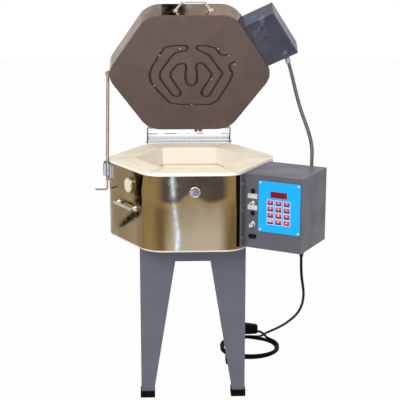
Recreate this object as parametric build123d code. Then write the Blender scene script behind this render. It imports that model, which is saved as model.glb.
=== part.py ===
from build123d import *

import math
import os

# Hexagonal glass fusing kiln on a sheet-metal stand, with its lid propped open.
# Millimetres, +Z up. A flat of the hexagon faces -Y, corners point to +X and to -X.
# Everything is drawn about the hexagon's own axis; the last step centres the footprint.

# Clearances
LOOSE = 0.3
PIN_FIT = 0.05
HOLE_ROOM = 1.0

# Brickwork
BRICK_FLATS = 457.2
BRICK_CORNER_R = 75.0
CHAMBER_FLATS = 304.8
CHAMBER_DEPTH = 174.0
FLOOR_T = 64.0
UPPER_COURSE_H = 56.0
COURSE_LEDGE = 3.5
WALL_GROOVE_H = 12.0
WALL_GROOVE_DEPTH = 12.0
WALL_GROOVE_DROP = 122.0
WALL_COIL_R = 4.5
TAIL_R = 2.0
TAIL_SPREAD = 14.0
TAIL_HOLE_R = 2.8
TAIL_REACH = 24.0
THERMO_R = 3.5
THERMO_IN = 28.0
THERMO_DROP = 90.0
THERMO_BLOCK_L = 14.0
THERMO_BLOCK_W = 24.0
THERMO_BLOCK_H = 16.0

# Body jacket and its screw clamps
JACKET_T = 1.0
RIM_PROUD = 10.0
SLAB_SHOWS = 5.0
CLAMP_W = 12.0
CLAMP_HALF = 30.0
CLAMP_STRAP_T = 1.5
CLAMP_LUG_W = 10.0
CLAMP_LUG_SPREAD = 32.0
CLAMP_T = 9.0
CLAMP_SCREW_R = 2.0
CLAMP_HEAD_R = 4.0
CLAMP_HEAD_L = 6.0
CLAMP_FROM_END = 40.0

# Stand
STAND_H = 490.0
STAND_W = 320.0
STAND_D = 300.0
STAND_SHEET = 2.0
STAND_LIP = 24.0
LEG_FOOT_W = 37.0
LEG_TOP_W = 107.0
CROSSBAR_H = 50.0
FOOT_OVER = 3.0
FOOT_W = 45.0
FOOT_H = 21.0
FOOT_FLOOR = 6.0
FOOT_EDGE_R = 3.0
BASE_PLATE_T = 2.0
BASE_PLATE_FLATS = 448.0
STAND_SCREW_R = 3.0
STAND_SCREW_L = 16.0
STAND_SCREW_X = 110.0

# Lid
LID_T = 60.0
LID_BAND_UP = 3.0
LID_OPEN_DEG = 58.3
LID_GROOVE_W = 7.5
LID_GROOVE_DEPTH = 8.0
LID_COIL_R = 2.8
LID_BEND_R = 14.0
LID_WIRE_R = 1.6
LID_HOLE_R = 2.4
LID_WIRE_UP = 16.0
HANDLE_X = 8.0
HANDLE_SPAN = 108.0
HANDLE_GRIP = 62.0
HANDLE_OUT = 33.0
HANDLE_ROD_R = 4.0
HANDLE_BEND_R = 12.0
HANDLE_UP = 27.0
HANDLE_FOOT_R = 8.0
HANDLE_FOOT_T = 3.0

# Hinge
HINGE_BACK = 49.4
HINGE_DROP = 4.0
HINGE_PIN_R = 3.5
HINGE_HALF = 136.0
HINGE_SHEET = 2.0
HINGE_GAP = 1.0
EAR_R = 8.0
EAR_H = 24.0
PIN_END = 4.0
BODY_LEAF_H = 68.0
LID_LEAF_H = 46.0
SHELF_OVER_PIN = 10.0
RIVET_R = 4.0
RIVET_T = 1.8
RIVET_UP = 26.0
RIVET_XS = (-110.0, -55.0, 0.0, 55.0, 110.0)

# Clamp of the lid's band, under the shelf of the lid's hinge leaf
LID_CLAMP_X = 31.0
LID_CLAMP_LUG = 9.0
LID_CLAMP_GAP = 5.0
LID_CLAMP_H = 8.0
LID_CLAMP_OUT = 9.0
LID_CLAMP_SCREW_R = 2.0
LID_CLAMP_SCREW_OVER = 2.0

# Lid stay: a tube on the lid that runs down through a swivelling guide on the body
STAY_Y = 14.0
STAY_HALF_RISE = 32.0
STAY_TUBE_R = 5.0
STAY_ROD_R = 2.8
STAY_SIDE_GAP = 0.8
STAY_TOP = 8.0
STAY_TUBE_DOWN = 38.0
STAY_GRIP_DOWN = 68.0
STAY_GRIP_OUT = 37.0
STAY_BEND_R = 7.0
STAY_BOLT_R = 2.5
STAY_BOLT_HEAD_R = 5.0
STAY_BOLT_HEAD_T = 4.0
GUIDE_FIT = 0.4
GUIDE_LONG = 20.0
GUIDE_H = 24.0
GUIDE_WALL = 4.0
GUIDE_OPEN_AT = 4.0
STRAP_T = 2.0
STRAP_HALF = 20.0
STRAP_H = 38.0
STRAP_FRONT = 40.0
STRAP_REAR = 16.0
LID_EAR_T = 0.5
LID_EAR_H = 32.0
LID_EAR_FRONT = 14.0
LID_EAR_REAR = 32.0

# Boxes on the front right face; N runs outward from the brick's flat, T along the face
BOX_T0 = -103.0
BOX_T1 = 83.0
BOX_UP = 11.0
BOX_H = 222.0
BOX_SHEET = 1.5
BACK_T = 2.0
BACK_FLANGE = 24.0
FLANGE_SCREWS = (30.0, 111.0, 192.0)
SCREW_HEAD_R = 3.2
SCREW_HEAD_T = 1.8
SCREW_ROUND = 0.8
SCREW_SHANK_R = 1.5
SCREW_SHANK_L = 5.0
LID_BOX_OUT = 105.0
LID_BOX_T0 = -79.0
LID_BOX_T1 = 95.0
LID_BOX_UP = 4.0
LID_FLANGE = 12.0
LID_FLANGE_SCREW_UP = 9.0
LID_STRIP_N = 30.0
LID_STRIP_L = 30.0
LID_STRIP_T0 = -56.0
LID_STRIP_T1 = 36.0
LID_STRIP_H = 18.0
LID_SCREWS = ((49.0, -45.0), (44.0, -8.0))
BIG_SCREW_R = 4.0
BIG_SCREW_T = 2.2

# Controller on the panel: places are N and the height above the box's bottom
COLUMN_W = 50.5
PLATE_EDGE = 4.5
PLATE_UP = 130.0
PLATE_W = 131.0
PLATE_H = 151.0
PLATE_T = 2.5
PLATE_SCREW_IN = 5.5
WINDOW_W = 92.0
WINDOW_H = 120.0
KEYS_OFF = 2.0
KEY_W = 18.0
KEY_H = 13.5
KEY_PITCH_N = 25.7
KEY_PITCH_Z = 18.9
KEY_TOP_UP = 143.6
KEY_PROUD = 0.8
KEY_T = 2.8
KEY_TRAVEL = 0.5
KEY_FIT = 0.4
KEY_ROUND = 1.5
KEY_REST_GAP = 0.1
DISPLAY_UP = 168.0
DISPLAY_W = 52.0
DISPLAY_H = 18.0
DISPLAY_PROUD = 0.4
BOARD_BACK = 9.0
BOARD_T = 1.6
BOARD_W = 118.0
BOARD_H = 138.0
STANDOFF_R = 3.0
STANDOFF_IN = 4.0

# Switches and lamps in one column beside the controller
SWITCH_N = 31.0
NECK_R = 3.0
NECK_HOLE_R = 3.3
LAMP_R = 6.5
LAMP_BODY_R = 5.2
LAMP_OUT = 3.0
LAMP_ROUND = 1.2
LAMP_DEPTH = 14.0
LAMP_UPS = (171.6, 105.3)
TOGGLE_UP = 136.0
TOGGLE_BODY = (13.0, 18.0, 20.0)
TOGGLE_BALL_R = 2.1
TOGGLE_PIVOT_OUT = 6.0
TOGGLE_TIP_R = 2.4
TOGGLE_ROOT_R = 1.5
TOGGLE_L = 16.0
TOGGLE_REST_DEG = 12.0
KNOB_UP = 72.0
KNOB_R = 9.5
KNOB_T = 13.0
KNOB_GAP = 1.5
KNOB_ROUND = 1.5
KNOB_SHAFT_R = 2.5
KNOB_SHAFT_L = 8.0
KNOB_GROOVE_W = 1.2
KNOB_GROOVE_T = 0.8
ROTARY_R = 11.0
ROTARY_DEPTH = 15.0
ROCKER_UP = 35.0
ROCKER_W = 26.0
ROCKER_H = 13.0
ROCKER_RIM = 2.0
ROCKER_WALL = 1.2
ROCKER_DEPTH = 18.0
ROCKER_PAD_W = 17.0
ROCKER_PAD_H = 7.0
ROCKER_PAD_T = 5.0
ROCKER_SIDE_GAP = 0.9
ROCKER_END_GAP = 0.4
ROCKER_WELL = 6.0
ROCKER_PIVOT_IN = 1.0
ROCKER_REST_DEG = 6.0
LABEL_N = 30.0
LABEL_W = 31.0
LABEL_H = 14.0
LABEL_T = 0.8
LABEL_ROUND = 1.0
LABEL_UPS = (156.5, 122.5)

# Parts inside the control box: length out from the back plate, width along T, height
TRANSFORMER = (42.0, 48.0, 46.0)
TRANSFORMER_T = -48.0
RELAY = (30.0, 34.0, 42.0)
RELAY_TS = (8.0, 50.0)
INNER_Z = 22.0
TERMINALS = (18.0, 60.0, 20.0)

# Peephole plugs
FRONT_PLUG_X = 3.5
FRONT_PLUG_R = 17.0
FRONT_PLUG_T = 14.0
FRONT_STEM_R = 11.0
SIDE_PLUG_X = 25.0
SIDE_PLUG_R = 24.0
SIDE_PLUG_T = 9.0
SIDE_STEM_R = 15.0
PLUG_DROP = 55.0
PLUG_ROUND = 3.0
STEM_L = 62.0
STEM_TAPER = 2.0

# Lifting handles on two opposite faces
CARRY_X = 10.5
CARRY_UP = 120.0
CARRY_SPAN = 118.0
CARRY_OUT = 17.0
CARRY_R = 4.5
CARRY_CUP_R = 9.5
CARRY_CUP_T = 3.0
CARRY_NECK_R = 4.2

# Conduit between the two boxes
CONDUIT_R = 5.8
CONDUIT_BOX_N = 128.5
CONDUIT_BOX_DOWN = 33.0
CONDUIT_LID_N = 62.0
CONDUIT_LID_UP = 16.0
FITTING_R = 8.0
FITTING_FLANGE_R = 10.0
FITTING_FLANGE_T = 4.0
BOX_FITTING_L = 22.0
BOX_FITTING_RISE = 20.0
LID_FITTING_L = 14.0
LID_FITTING_NOZZLE = 16.0

# Power cord
CORD_R = 4.0
GLAND_IN = 12.5
GLAND_T = -70.0
GLAND_NUT_R = 9.0
GLAND_NUT_T = 4.0
GLAND_NECK_R = 6.0
GLAND_TIP_R = 5.5
GLAND_L = 18.0
COIL_X = 208.0
COIL_Y = 248.0
COIL_OUT_R = 102.0
COIL_IN_R = 84.0
COIL_H = 20.0
COIL_ROUND = 4.0
PLUG_X = 218.0
PLUG_W = 52.0
PLUG_D = 30.0
PLUG_H = 40.0
PLUG_EDGE_R = 10.0
BLADE_T = 1.6
BLADE_W = 6.4
BLADE_L = 18.0
BLADE_GAP = 12.7
BLADE_UP = 3.0
EARTH_R = 2.4
EARTH_DOWN = 7.0

# Levels and faces that follow
BOX_Z0 = STAND_H + BOX_UP
BOX_Z1 = BOX_Z0 + BOX_H
PLATE_Z = BOX_Z0 + PLATE_UP
PLATE_N = COLUMN_W + PLATE_W / 2
KEYS_N = PLATE_N - KEYS_OFF
BOX_OUT = COLUMN_W + PLATE_W + PLATE_EDGE
GLAND_N = BOX_OUT - GLAND_IN
KEY_TOP_Z = BOX_Z0 + KEY_TOP_UP
DISPLAY_Z = BOX_Z0 + DISPLAY_UP
LAMP_ZS = [BOX_Z0 + up for up in LAMP_UPS]
TOGGLE_Z = BOX_Z0 + TOGGLE_UP
KNOB_Z = BOX_Z0 + KNOB_UP
ROCKER_Z = BOX_Z0 + ROCKER_UP
LABEL_ZS = [BOX_Z0 + up for up in LABEL_UPS]
CARRY_Z = STAND_H + CARRY_UP
CONDUIT_BOX_Z = BOX_Z1 - CONDUIT_BOX_DOWN
BODY_Z0 = STAND_H + BASE_PLATE_T
CHAMBER_Z0 = BODY_Z0 + FLOOR_T
RIM_Z = CHAMBER_Z0 + CHAMBER_DEPTH
COURSE_Z = RIM_Z - UPPER_COURSE_H
LOWER_FLATS = CHAMBER_FLATS - 2 * COURSE_LEDGE
JACKET_Z0 = BODY_Z0 + SLAB_SHOWS
JACKET_Z1 = RIM_Z - RIM_PROUD
BRICK_FACE = BRICK_FLATS / 2
JACKET_FACE = BRICK_FACE + JACKET_T
GROOVE_Z1 = RIM_Z - WALL_GROOVE_DROP
GROOVE_Z0 = GROOVE_Z1 - WALL_GROOVE_H
WALL_COIL_Z = GROOVE_Z0 + WALL_COIL_R + LOOSE
THERMO_Z = RIM_Z - THERMO_DROP
PLUG_Z = RIM_Z - PLUG_DROP
LID_Z0 = RIM_Z + LOOSE
LID_Z1 = LID_Z0 + LID_T
HINGE_Y = BRICK_FACE + HINGE_BACK
HINGE_Z = RIM_Z - HINGE_DROP
SHELF_Z0 = HINGE_Z + SHELF_OVER_PIN
BOX_N0 = JACKET_FACE + BACK_T
BOX_N1 = BRICK_FACE + BOX_OUT
CORNER_CENTRE = (BRICK_FACE - BRICK_CORNER_R) / math.cos(math.pi / 6)
CORNER_X = CORNER_CENTRE + BRICK_CORNER_R + JACKET_T
STAY_X = -(CORNER_X + STAY_SIDE_GAP + STAY_TUBE_R)
STAY_GUIDE_Z = HINGE_Z - STAY_HALF_RISE
STAY_LID_Z = HINGE_Z + STAY_HALF_RISE
GUIDE_X0 = STAY_X - STAY_TUBE_R - GUIDE_FIT - GUIDE_WALL
STRAP_X = GUIDE_X0 - LOOSE
LID_BOX_N1 = BRICK_FACE + LID_BOX_OUT
LID_BOX_Z0 = LID_Z0 + LID_BOX_UP
LID_BOX_Z1 = LID_Z1 + JACKET_T
LID_STRIP_N0 = JACKET_FACE + LID_STRIP_N

# Turns from the front face to the other faces, and of the boxes drawn with N along +X
FRONT_LEFT = Rot(0, 0, -60)
BACK_RIGHT = Rot(0, 0, 120)
BOX_TURN = Rot(0, 0, -30)
# The lid is drawn closed and turned up about the hinge pin
HINGE_AXIS = Axis((0, HINGE_Y, HINGE_Z), (1, 0, 0))

# Element track in the lid's underside, X and Y with the lid closed
LID_TRACK = [
    (119, -80), (96, -79), (80, -106), (51, -116), (21, -116), (19, -105), (40, -91), (58, -81),
    (104, -7), (63, 86), (50, 90), (37, 73), (43, 56), (69, 3), (67, -9), (41, -49), (25, -50),
    (19, -34), (24, 7), (20, 35), (7, 45), (-9, 35), (-14, 10), (-11, -38), (-19, -48),
    (-41, -42), (-59, -14), (-61, 6), (-26, 72), (-34, 89), (-53, 84), (-93, 14), (-94, -11),
    (-59, -74), (-44, -90), (-13, -97), (-7, -107), (-12, -118), (-47, -117), (-78, -111),
    (-119, -35), (-127, -3), (-123, 26), (-101, 63), (-63, 114), (-30, 121), (67, 122),
    (92, 103), (125, 32), (136, -4), (123, -33), (128, -47), (139, -53),
]

# Free stretch of the power cord below its gland, down to the coil on the floor
CORD_ROUTE = [
    (318, -252, 410), (328, -222, 367), (334.5, -170, 318), (335, -100, 264), (328, -40, 222),
    (318, 15, 187), (305, 75, 150), (290, 130, 118), (275, 185, 88), (264, 235, 62),
    (259, 275, 40), (251, 307, 22), (238, 332, 12),
]
CORD_DROP = 33.0

# Hanging stretch of the conduit, from below the lid's connector to above the box's elbow; Z above the stand
CONDUIT_ROUTE = [
    (319, 120, 486), (326, 94, 448), (333, 64, 412), (341.5, 35, 377), (350.5, 6, 348),
    (358.7, -24, 321), (363.6, -52, 294), (364.3, -74, 270),
]
CONDUIT_DROP = 26.0

LOW = (Align.CENTER, Align.CENTER, Align.MIN)
HIGH = (Align.CENTER, Align.CENTER, Align.MAX)


def box_between(x0, x1, y0, y1, z0, z1):
    """A box given by its two ends along each axis."""
    return Pos((x0 + x1) / 2, (y0 + y1) / 2, (z0 + z1) / 2) * Box(x1 - x0, y1 - y0, z1 - z0)


def rod(start, end, radius):
    """A round bar from one point to another."""
    run = Vector(end) - Vector(start)
    return extrude(Plane(origin=Vector(start), z_dir=run) * Circle(radius), amount=run.length)


def joined(shapes):
    """The union of several shapes."""
    total = shapes[0]
    for shape in shapes[1:]:
        total = total + shape
    return total


def group(shapes):
    """Separate solids as one sub-part; each shape has to be a single solid."""
    solids = []
    for shape in shapes:
        (solid,) = shape.solids()
        solids.append(solid)
    return Compound(solids)


def corner_radii(points, limit=math.inf):
    """Bend radius at each inner point: 0.45 of the shorter run over the tangent of half the turn."""
    radii = []
    for before, here, after in zip(points, points[1:], points[2:]):
        run_in = Vector(here) - Vector(before)
        run_out = Vector(after) - Vector(here)
        half_turn = math.radians(run_in.get_angle(run_out)) / 2
        radii.append(min(limit, 0.45 * min(run_in.length, run_out.length) / math.tan(half_turn)))
    return radii


def tube_along(points, radius, bend_limit=math.inf):
    """A round bar along straight runs joined by tangent arcs, and the path it follows."""
    path = FilletPolyline(*points, radius=corner_radii(points, bend_limit))
    return sweep(Plane(origin=path @ 0, z_dir=path % 0) * Circle(radius), path=path), path


def report_tube(name, points, tube, path, radius):
    """Prints a cord's bend radii, its length and how its volume compares with section times length."""
    radii = [round(value) for value in corner_radii(points)]
    ratio = tube.volume / (math.pi * radius ** 2 * path.length)
    print(name, "radii", radii, "length", round(path.length, 1), "volume ratio", round(ratio, 4))


def hexagon(across_flats, corner_r=0.0):
    """A flat hexagon with a corner on +X and, if asked, round corners."""
    shape = RegularPolygon(radius=across_flats / 2, side_count=6, major_radius=False)
    if corner_r > 0:
        shape = fillet(shape.vertices(), corner_r)
    return shape


def hex_block(across_flats, z0, z1, corner_r=0.0):
    """A hexagonal block between two levels."""
    return extrude(Pos(0, 0, z0) * hexagon(across_flats, corner_r), amount=z1 - z0)


def brick_outline(outside, z0, z1):
    """A block in the brickwork's outline, grown by an offset."""
    return hex_block(BRICK_FLATS + 2 * outside, z0, z1, BRICK_CORNER_R + outside)


def sheet_ring(inside, outside, z0, z1):
    """The wall between two offsets of the brick outline."""
    return brick_outline(outside, z0, z1) - brick_outline(inside, z0, z1)


def opened(shape):
    """Turns a piece of the closed lid up to the propped pose."""
    return shape.rotate(HINGE_AXIS, -LID_OPEN_DEG)


def open_point(x, y, z):
    """Where a point of the closed lid lies in the propped pose."""
    turn = math.radians(LID_OPEN_DEG)
    back = y - HINGE_Y
    up = z - HINGE_Z
    return Vector(x, HINGE_Y + back * math.cos(turn) + up * math.sin(turn),
                  HINGE_Z - back * math.sin(turn) + up * math.cos(turn))


def on_box_side(n, t, z):
    """A point given by its distance N from the hexagon's axis, its place T and its level."""
    return Vector(n, t, z).rotate(Axis.Z, -30)


def stand_panel(width, leg_foot, leg_top, z_high):
    """One upright sheet of the stand: a crossbar on two legs that taper on the inside."""
    half = width / 2
    bar_z = STAND_H - CROSSBAR_H
    outline = make_face(Polyline(
        (-half, FOOT_FLOOR), (-half, z_high), (half, z_high), (half, FOOT_FLOOR),
        (half - leg_foot, FOOT_FLOOR), (half - leg_top, bar_z), (leg_top - half, bar_z),
        (leg_foot - half, FOOT_FLOOR), close=True))
    return extrude(Plane.XZ * outline, amount=-STAND_SHEET)


def stand_screw_places():
    """The four screws through the stand's lips into the base plate."""
    y = STAND_D / 2 - STAND_SHEET - STAND_LIP / 2
    return [(x, side * y) for x in (-STAND_SCREW_X, STAND_SCREW_X) for side in (-1, 1)]


def drilled_for_stand(part, z_top):
    """Cuts the holes of the stand screws up to a level."""
    z0 = STAND_H - STAND_SHEET
    for x, y in stand_screw_places():
        part -= Pos(x, y, z0) * Cylinder(STAND_SCREW_R + LOOSE, z_top - z0, align=LOW)
    return part


def stand_end():
    """Front sheet of the stand with its inward lip under the base plate."""
    face = Pos(0, -STAND_D / 2, 0) * stand_panel(STAND_W, LEG_FOOT_W, LEG_TOP_W, STAND_H)
    y_in = STAND_SHEET - STAND_D / 2
    half = STAND_W / 2 - STAND_SHEET
    lip = box_between(-half, half, y_in, y_in + STAND_LIP, STAND_H - STAND_SHEET, STAND_H)
    return drilled_for_stand(face + lip, STAND_H)


def stand_ends():
    """Front and rear sheet of the stand."""
    front = stand_end()
    return group([front, front.mirror(Plane.XZ)])


def stand_sides():
    """The two side sheets, set between the front and the rear sheet."""
    side = stand_panel(STAND_D - 2 * STAND_SHEET, LEG_FOOT_W - STAND_SHEET, LEG_TOP_W - STAND_SHEET,
                       STAND_H - STAND_SHEET)
    right = Pos(STAND_W / 2, 0, 0) * Rot(0, 0, 90) * side
    left = Pos(-STAND_W / 2, 0, 0) * Rot(0, 0, -90) * side
    return group([left, right])


def feet():
    """Four rubber shoes moulded around the sheet corners of the legs."""
    x0 = -STAND_W / 2 - FOOT_OVER
    y0 = -STAND_D / 2 - FOOT_OVER
    block = box_between(x0, x0 + FOOT_W, y0, y0 + FOOT_W, 0, FOOT_H)
    block = fillet(block.edges().filter_by(Axis.Z), FOOT_EDGE_R)
    shoe = block - stand_ends() - stand_sides()
    left = [shoe, shoe.mirror(Plane.XZ)]
    return group(left + [shape.mirror(Plane.YZ) for shape in left])


def stand_screws():
    """Screws from below through the lips and the base plate into the floor slab."""
    screws = []
    for x, y in stand_screw_places():
        place = Pos(x, y, STAND_H - STAND_SHEET)
        head = place * Cylinder(2 * STAND_SCREW_R, STAND_SCREW_R, align=HIGH)
        screws.append(head + place * Cylinder(STAND_SCREW_R, STAND_SCREW_L, align=LOW))
    return group(screws)


def base_plate():
    """Hexagonal sheet that carries the brickwork."""
    plate = hex_block(BASE_PLATE_FLATS, STAND_H, BODY_Z0, BRICK_CORNER_R)
    return drilled_for_stand(plate, BODY_Z0)


def floor_slab():
    """Firebrick floor."""
    return drilled_for_stand(brick_outline(0, BODY_Z0, CHAMBER_Z0), STAND_H + STAND_SCREW_L)


def peephole(x, radius):
    """A straight hole through the front wall at the height of the plugs."""
    face = Plane(origin=(x, -JACKET_FACE - HOLE_ROOM, PLUG_Z), z_dir=(0, 1, 0))
    return extrude(face * Circle(radius), amount=JACKET_FACE - LOWER_FLATS / 2 + 2 * HOLE_ROOM)


def front_right_holes():
    """Holes for the element tails and the thermocouple through the front right wall."""
    inner = LOWER_FLATS / 2 - HOLE_ROOM
    outer = BOX_N0 + HOLE_ROOM
    holes = [rod((inner, t, WALL_COIL_Z), (outer, t, WALL_COIL_Z), TAIL_HOLE_R)
             for t in (-TAIL_SPREAD, TAIL_SPREAD)]
    holes.append(rod((inner, 0, THERMO_Z), (outer, 0, THERMO_Z), THERMO_R + LOOSE))
    return joined([BOX_TURN * hole for hole in holes])


def brick_course(inner_flats, z0, z1):
    """One ring of six bricks with mitred joints, the front brick first, then anticlockwise."""
    ring = brick_outline(0, z0, z1) - hex_block(inner_flats, z0, z1)
    half = BRICK_FLATS * math.tan(math.pi / 6)
    wedge = make_face(Polyline((0, 0), (-half, -BRICK_FLATS), (half, -BRICK_FLATS), close=True))
    brick = ring & extrude(Pos(0, 0, z0) * wedge, amount=z1 - z0)
    return [Rot(0, 0, 60 * turn) * brick for turn in range(6)]


def wall_bricks():
    """Two courses of six bricks; the lower course has the element groove and stands in a little."""
    upper = brick_course(CHAMBER_FLATS, COURSE_Z, RIM_Z)
    lower = brick_course(LOWER_FLATS, CHAMBER_Z0, COURSE_Z)
    groove = hex_block(LOWER_FLATS + 2 * WALL_GROOVE_DEPTH, GROOVE_Z0, GROOVE_Z1)
    lower = [brick - groove for brick in lower]
    front_hole = peephole(FRONT_PLUG_X, FRONT_STEM_R + LOOSE)
    side_hole = FRONT_LEFT * peephole(SIDE_PLUG_X, SIDE_STEM_R + LOOSE)
    for course in (upper, lower):
        course[0] = course[0] - front_hole
        course[5] = course[5] - side_hole
    lower[1] = lower[1] - front_right_holes()
    return group(upper + lower)


def wall_element():
    """Heating coil in the wall groove, as its outer round, with two tails into the control box."""
    distance = LOWER_FLATS / 2 + WALL_GROOVE_DEPTH - WALL_COIL_R - LOOSE
    corner = distance / math.cos(math.pi / 6)
    points = [on_box_side(distance, TAIL_SPREAD, WALL_COIL_Z)]
    points += [Vector(corner, 0, WALL_COIL_Z).rotate(Axis.Z, 60 * turn) for turn in range(6)]
    points.append(on_box_side(distance, -TAIL_SPREAD, WALL_COIL_Z))
    coil, _ = tube_along(points, WALL_COIL_R, 2 * WALL_COIL_R)
    parts = [coil]
    for t in (-TAIL_SPREAD, TAIL_SPREAD):
        tail = rod((distance, t, WALL_COIL_Z), (BOX_N0 + TAIL_REACH, t, WALL_COIL_Z), TAIL_R)
        parts.append(BOX_TURN * (tail + Pos(distance, t, WALL_COIL_Z) * Sphere(WALL_COIL_R)))
    return joined(parts)


def thermocouple():
    """Ceramic-sleeved probe through the front right wall, with its block in the control box."""
    tube = rod((LOWER_FLATS / 2 - THERMO_IN, 0, THERMO_Z), (BOX_N0 + LOOSE, 0, THERMO_Z), THERMO_R)
    block = box_between(BOX_N0, BOX_N0 + THERMO_BLOCK_L, -THERMO_BLOCK_W / 2, THERMO_BLOCK_W / 2,
                        THERMO_Z - THERMO_BLOCK_H / 2, THERMO_Z + THERMO_BLOCK_H / 2)
    return BOX_TURN * (tube + block)


def clamp(z):
    """Screw clamp across the jacket's seam on the back face."""
    y0 = JACKET_FACE
    z0 = z - CLAMP_W / 2
    z1 = z + CLAMP_W / 2
    parts = [box_between(-CLAMP_HALF, CLAMP_HALF, y0, y0 + CLAMP_STRAP_T, z0, z1)]
    for side in (-1, 1):
        x = side * CLAMP_LUG_SPREAD / 2
        parts.append(box_between(x - CLAMP_LUG_W / 2, x + CLAMP_LUG_W / 2, y0, y0 + CLAMP_T, z0, z1))
    y = y0 + (CLAMP_STRAP_T + CLAMP_T) / 2
    start = -(CLAMP_LUG_SPREAD + CLAMP_LUG_W) / 2 - CLAMP_HEAD_L
    parts.append(rod((start, y, z), (CLAMP_HALF, y, z), CLAMP_SCREW_R))
    parts.append(rod((start, y, z), (start + CLAMP_HEAD_L, y, z), CLAMP_HEAD_R))
    return joined(parts)


def body_jacket():
    """Stainless wrap of the body with its peepholes and wiring holes, and its two screw clamps."""
    jacket = sheet_ring(0, JACKET_T, JACKET_Z0, JACKET_Z1)
    jacket -= peephole(FRONT_PLUG_X, FRONT_STEM_R + LOOSE)
    jacket -= FRONT_LEFT * peephole(SIDE_PLUG_X, SIDE_STEM_R + LOOSE)
    jacket -= front_right_holes()
    low = clamp(JACKET_Z0 + CLAMP_FROM_END)
    high = clamp(JACKET_Z1 - BODY_LEAF_H - CLAMP_FROM_END)
    return group([jacket, low, high])


def peephole_plug(x, head_r, head_t, stem_r):
    """Pull-out plug: a round head on the jacket and a tapered stem in the brick."""
    face = Plane(origin=(x, -JACKET_FACE, PLUG_Z), z_dir=(0, -1, 0))
    head = extrude(face * Circle(head_r), amount=head_t)
    head = fillet(head.edges().sort_by(Axis.Y)[0], PLUG_ROUND)
    stem = loft([face * Circle(stem_r), face.offset(-STEM_L) * Circle(stem_r - STEM_TAPER)])
    return head + stem


def carry_handle():
    """Lifting bar on two flared cups, drawn on the front face."""
    half = CARRY_SPAN / 2 - CARRY_CUP_R
    parts = []
    for side in (-1, 1):
        x = CARRY_X + side * half
        face = Plane(origin=(x, -JACKET_FACE, CARRY_Z), x_dir=(1, 0, 0), z_dir=(0, -1, 0))
        parts.append(extrude(face * Circle(CARRY_CUP_R), amount=CARRY_CUP_T))
        parts.append(loft([face * Circle(CARRY_CUP_R), face.offset(CARRY_OUT) * Circle(CARRY_NECK_R)]))
    y = -JACKET_FACE - CARRY_OUT
    end = half + CARRY_R
    parts.append(rod((CARRY_X - end, y, CARRY_Z), (CARRY_X + end, y, CARRY_Z), CARRY_R))
    return joined(parts)


def carry_handles():
    """One lifting handle on the front left face and one on the opposite face."""
    handle = carry_handle()
    return group([FRONT_LEFT * handle, BACK_RIGHT * handle])


def hinge_bar(x0, x1, radius):
    """A round bar along the hinge's axis."""
    return rod((x0, HINGE_Y, HINGE_Z), (x1, HINGE_Y, HINGE_Z), radius)


def rivets(y, z):
    """A row of rivet heads on a hinge leaf."""
    return [rod((x, y, z), (x, y + RIVET_T, z), RIVET_R) for x in RIVET_XS]


def body_hinge():
    """Sheet leaf on the back of the body with an ear for the pin at each end."""
    y0 = JACKET_FACE
    y1 = y0 + HINGE_SHEET
    z0 = JACKET_Z1 - BODY_LEAF_H
    parts = [box_between(-HINGE_HALF, HINGE_HALF, y0, y1, z0, JACKET_Z1)] + rivets(y1, z0 + RIVET_UP)
    for side in (-1, 1):
        x0, x1 = sorted((side * (HINGE_HALF - HINGE_SHEET), side * HINGE_HALF))
        parts.append(box_between(x0, x1, y0, HINGE_Y, HINGE_Z - EAR_H, HINGE_Z))
        parts.append(hinge_bar(x0, x1, EAR_R))
    bore = hinge_bar(-HINGE_HALF, HINGE_HALF, HINGE_PIN_R + PIN_FIT)
    return joined(parts) - brick_outline(JACKET_T, JACKET_Z0, RIM_Z) - bore


def hinge_pin():
    """One long pin through all four ears."""
    end = HINGE_HALF + HINGE_GAP + HINGE_SHEET + PIN_END
    return hinge_bar(-end, end, HINGE_PIN_R)


def lid_hinge():
    """Sheet leaf on the back of the lid, bent to a shelf over the pin, with an ear at each end."""
    outer = HINGE_HALF + HINGE_GAP + HINGE_SHEET
    y1 = JACKET_FACE + HINGE_SHEET
    shelf_z1 = SHELF_Z0 + HINGE_SHEET
    parts = [
        box_between(-HINGE_HALF, HINGE_HALF, JACKET_FACE, y1, SHELF_Z0, SHELF_Z0 + LID_LEAF_H),
        box_between(-outer, outer, JACKET_FACE, HINGE_Y + EAR_R, SHELF_Z0, shelf_z1),
    ] + rivets(y1, SHELF_Z0 + RIVET_UP)
    for side in (-1, 1):
        x0, x1 = sorted((side * (outer - HINGE_SHEET), side * outer))
        parts.append(box_between(x0, x1, HINGE_Y - EAR_R, HINGE_Y + EAR_R, HINGE_Z, shelf_z1))
        parts.append(hinge_bar(x0, x1, EAR_R))
    return opened(joined(parts) - hinge_bar(-outer, outer, HINGE_PIN_R + PIN_FIT))


def slanted(shape):
    """Turns a stay piece drawn upright about the guide to its slant in the propped pose."""
    return shape.rotate(Axis((0, STAY_Y, STAY_GUIDE_Z), (1, 0, 0)), -LID_OPEN_DEG / 2)


def stay_bar(x0, x1, radius, z):
    """A round bar along X at the stay's Y."""
    return rod((x0, STAY_Y, z), (x1, STAY_Y, z), radius)


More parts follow.
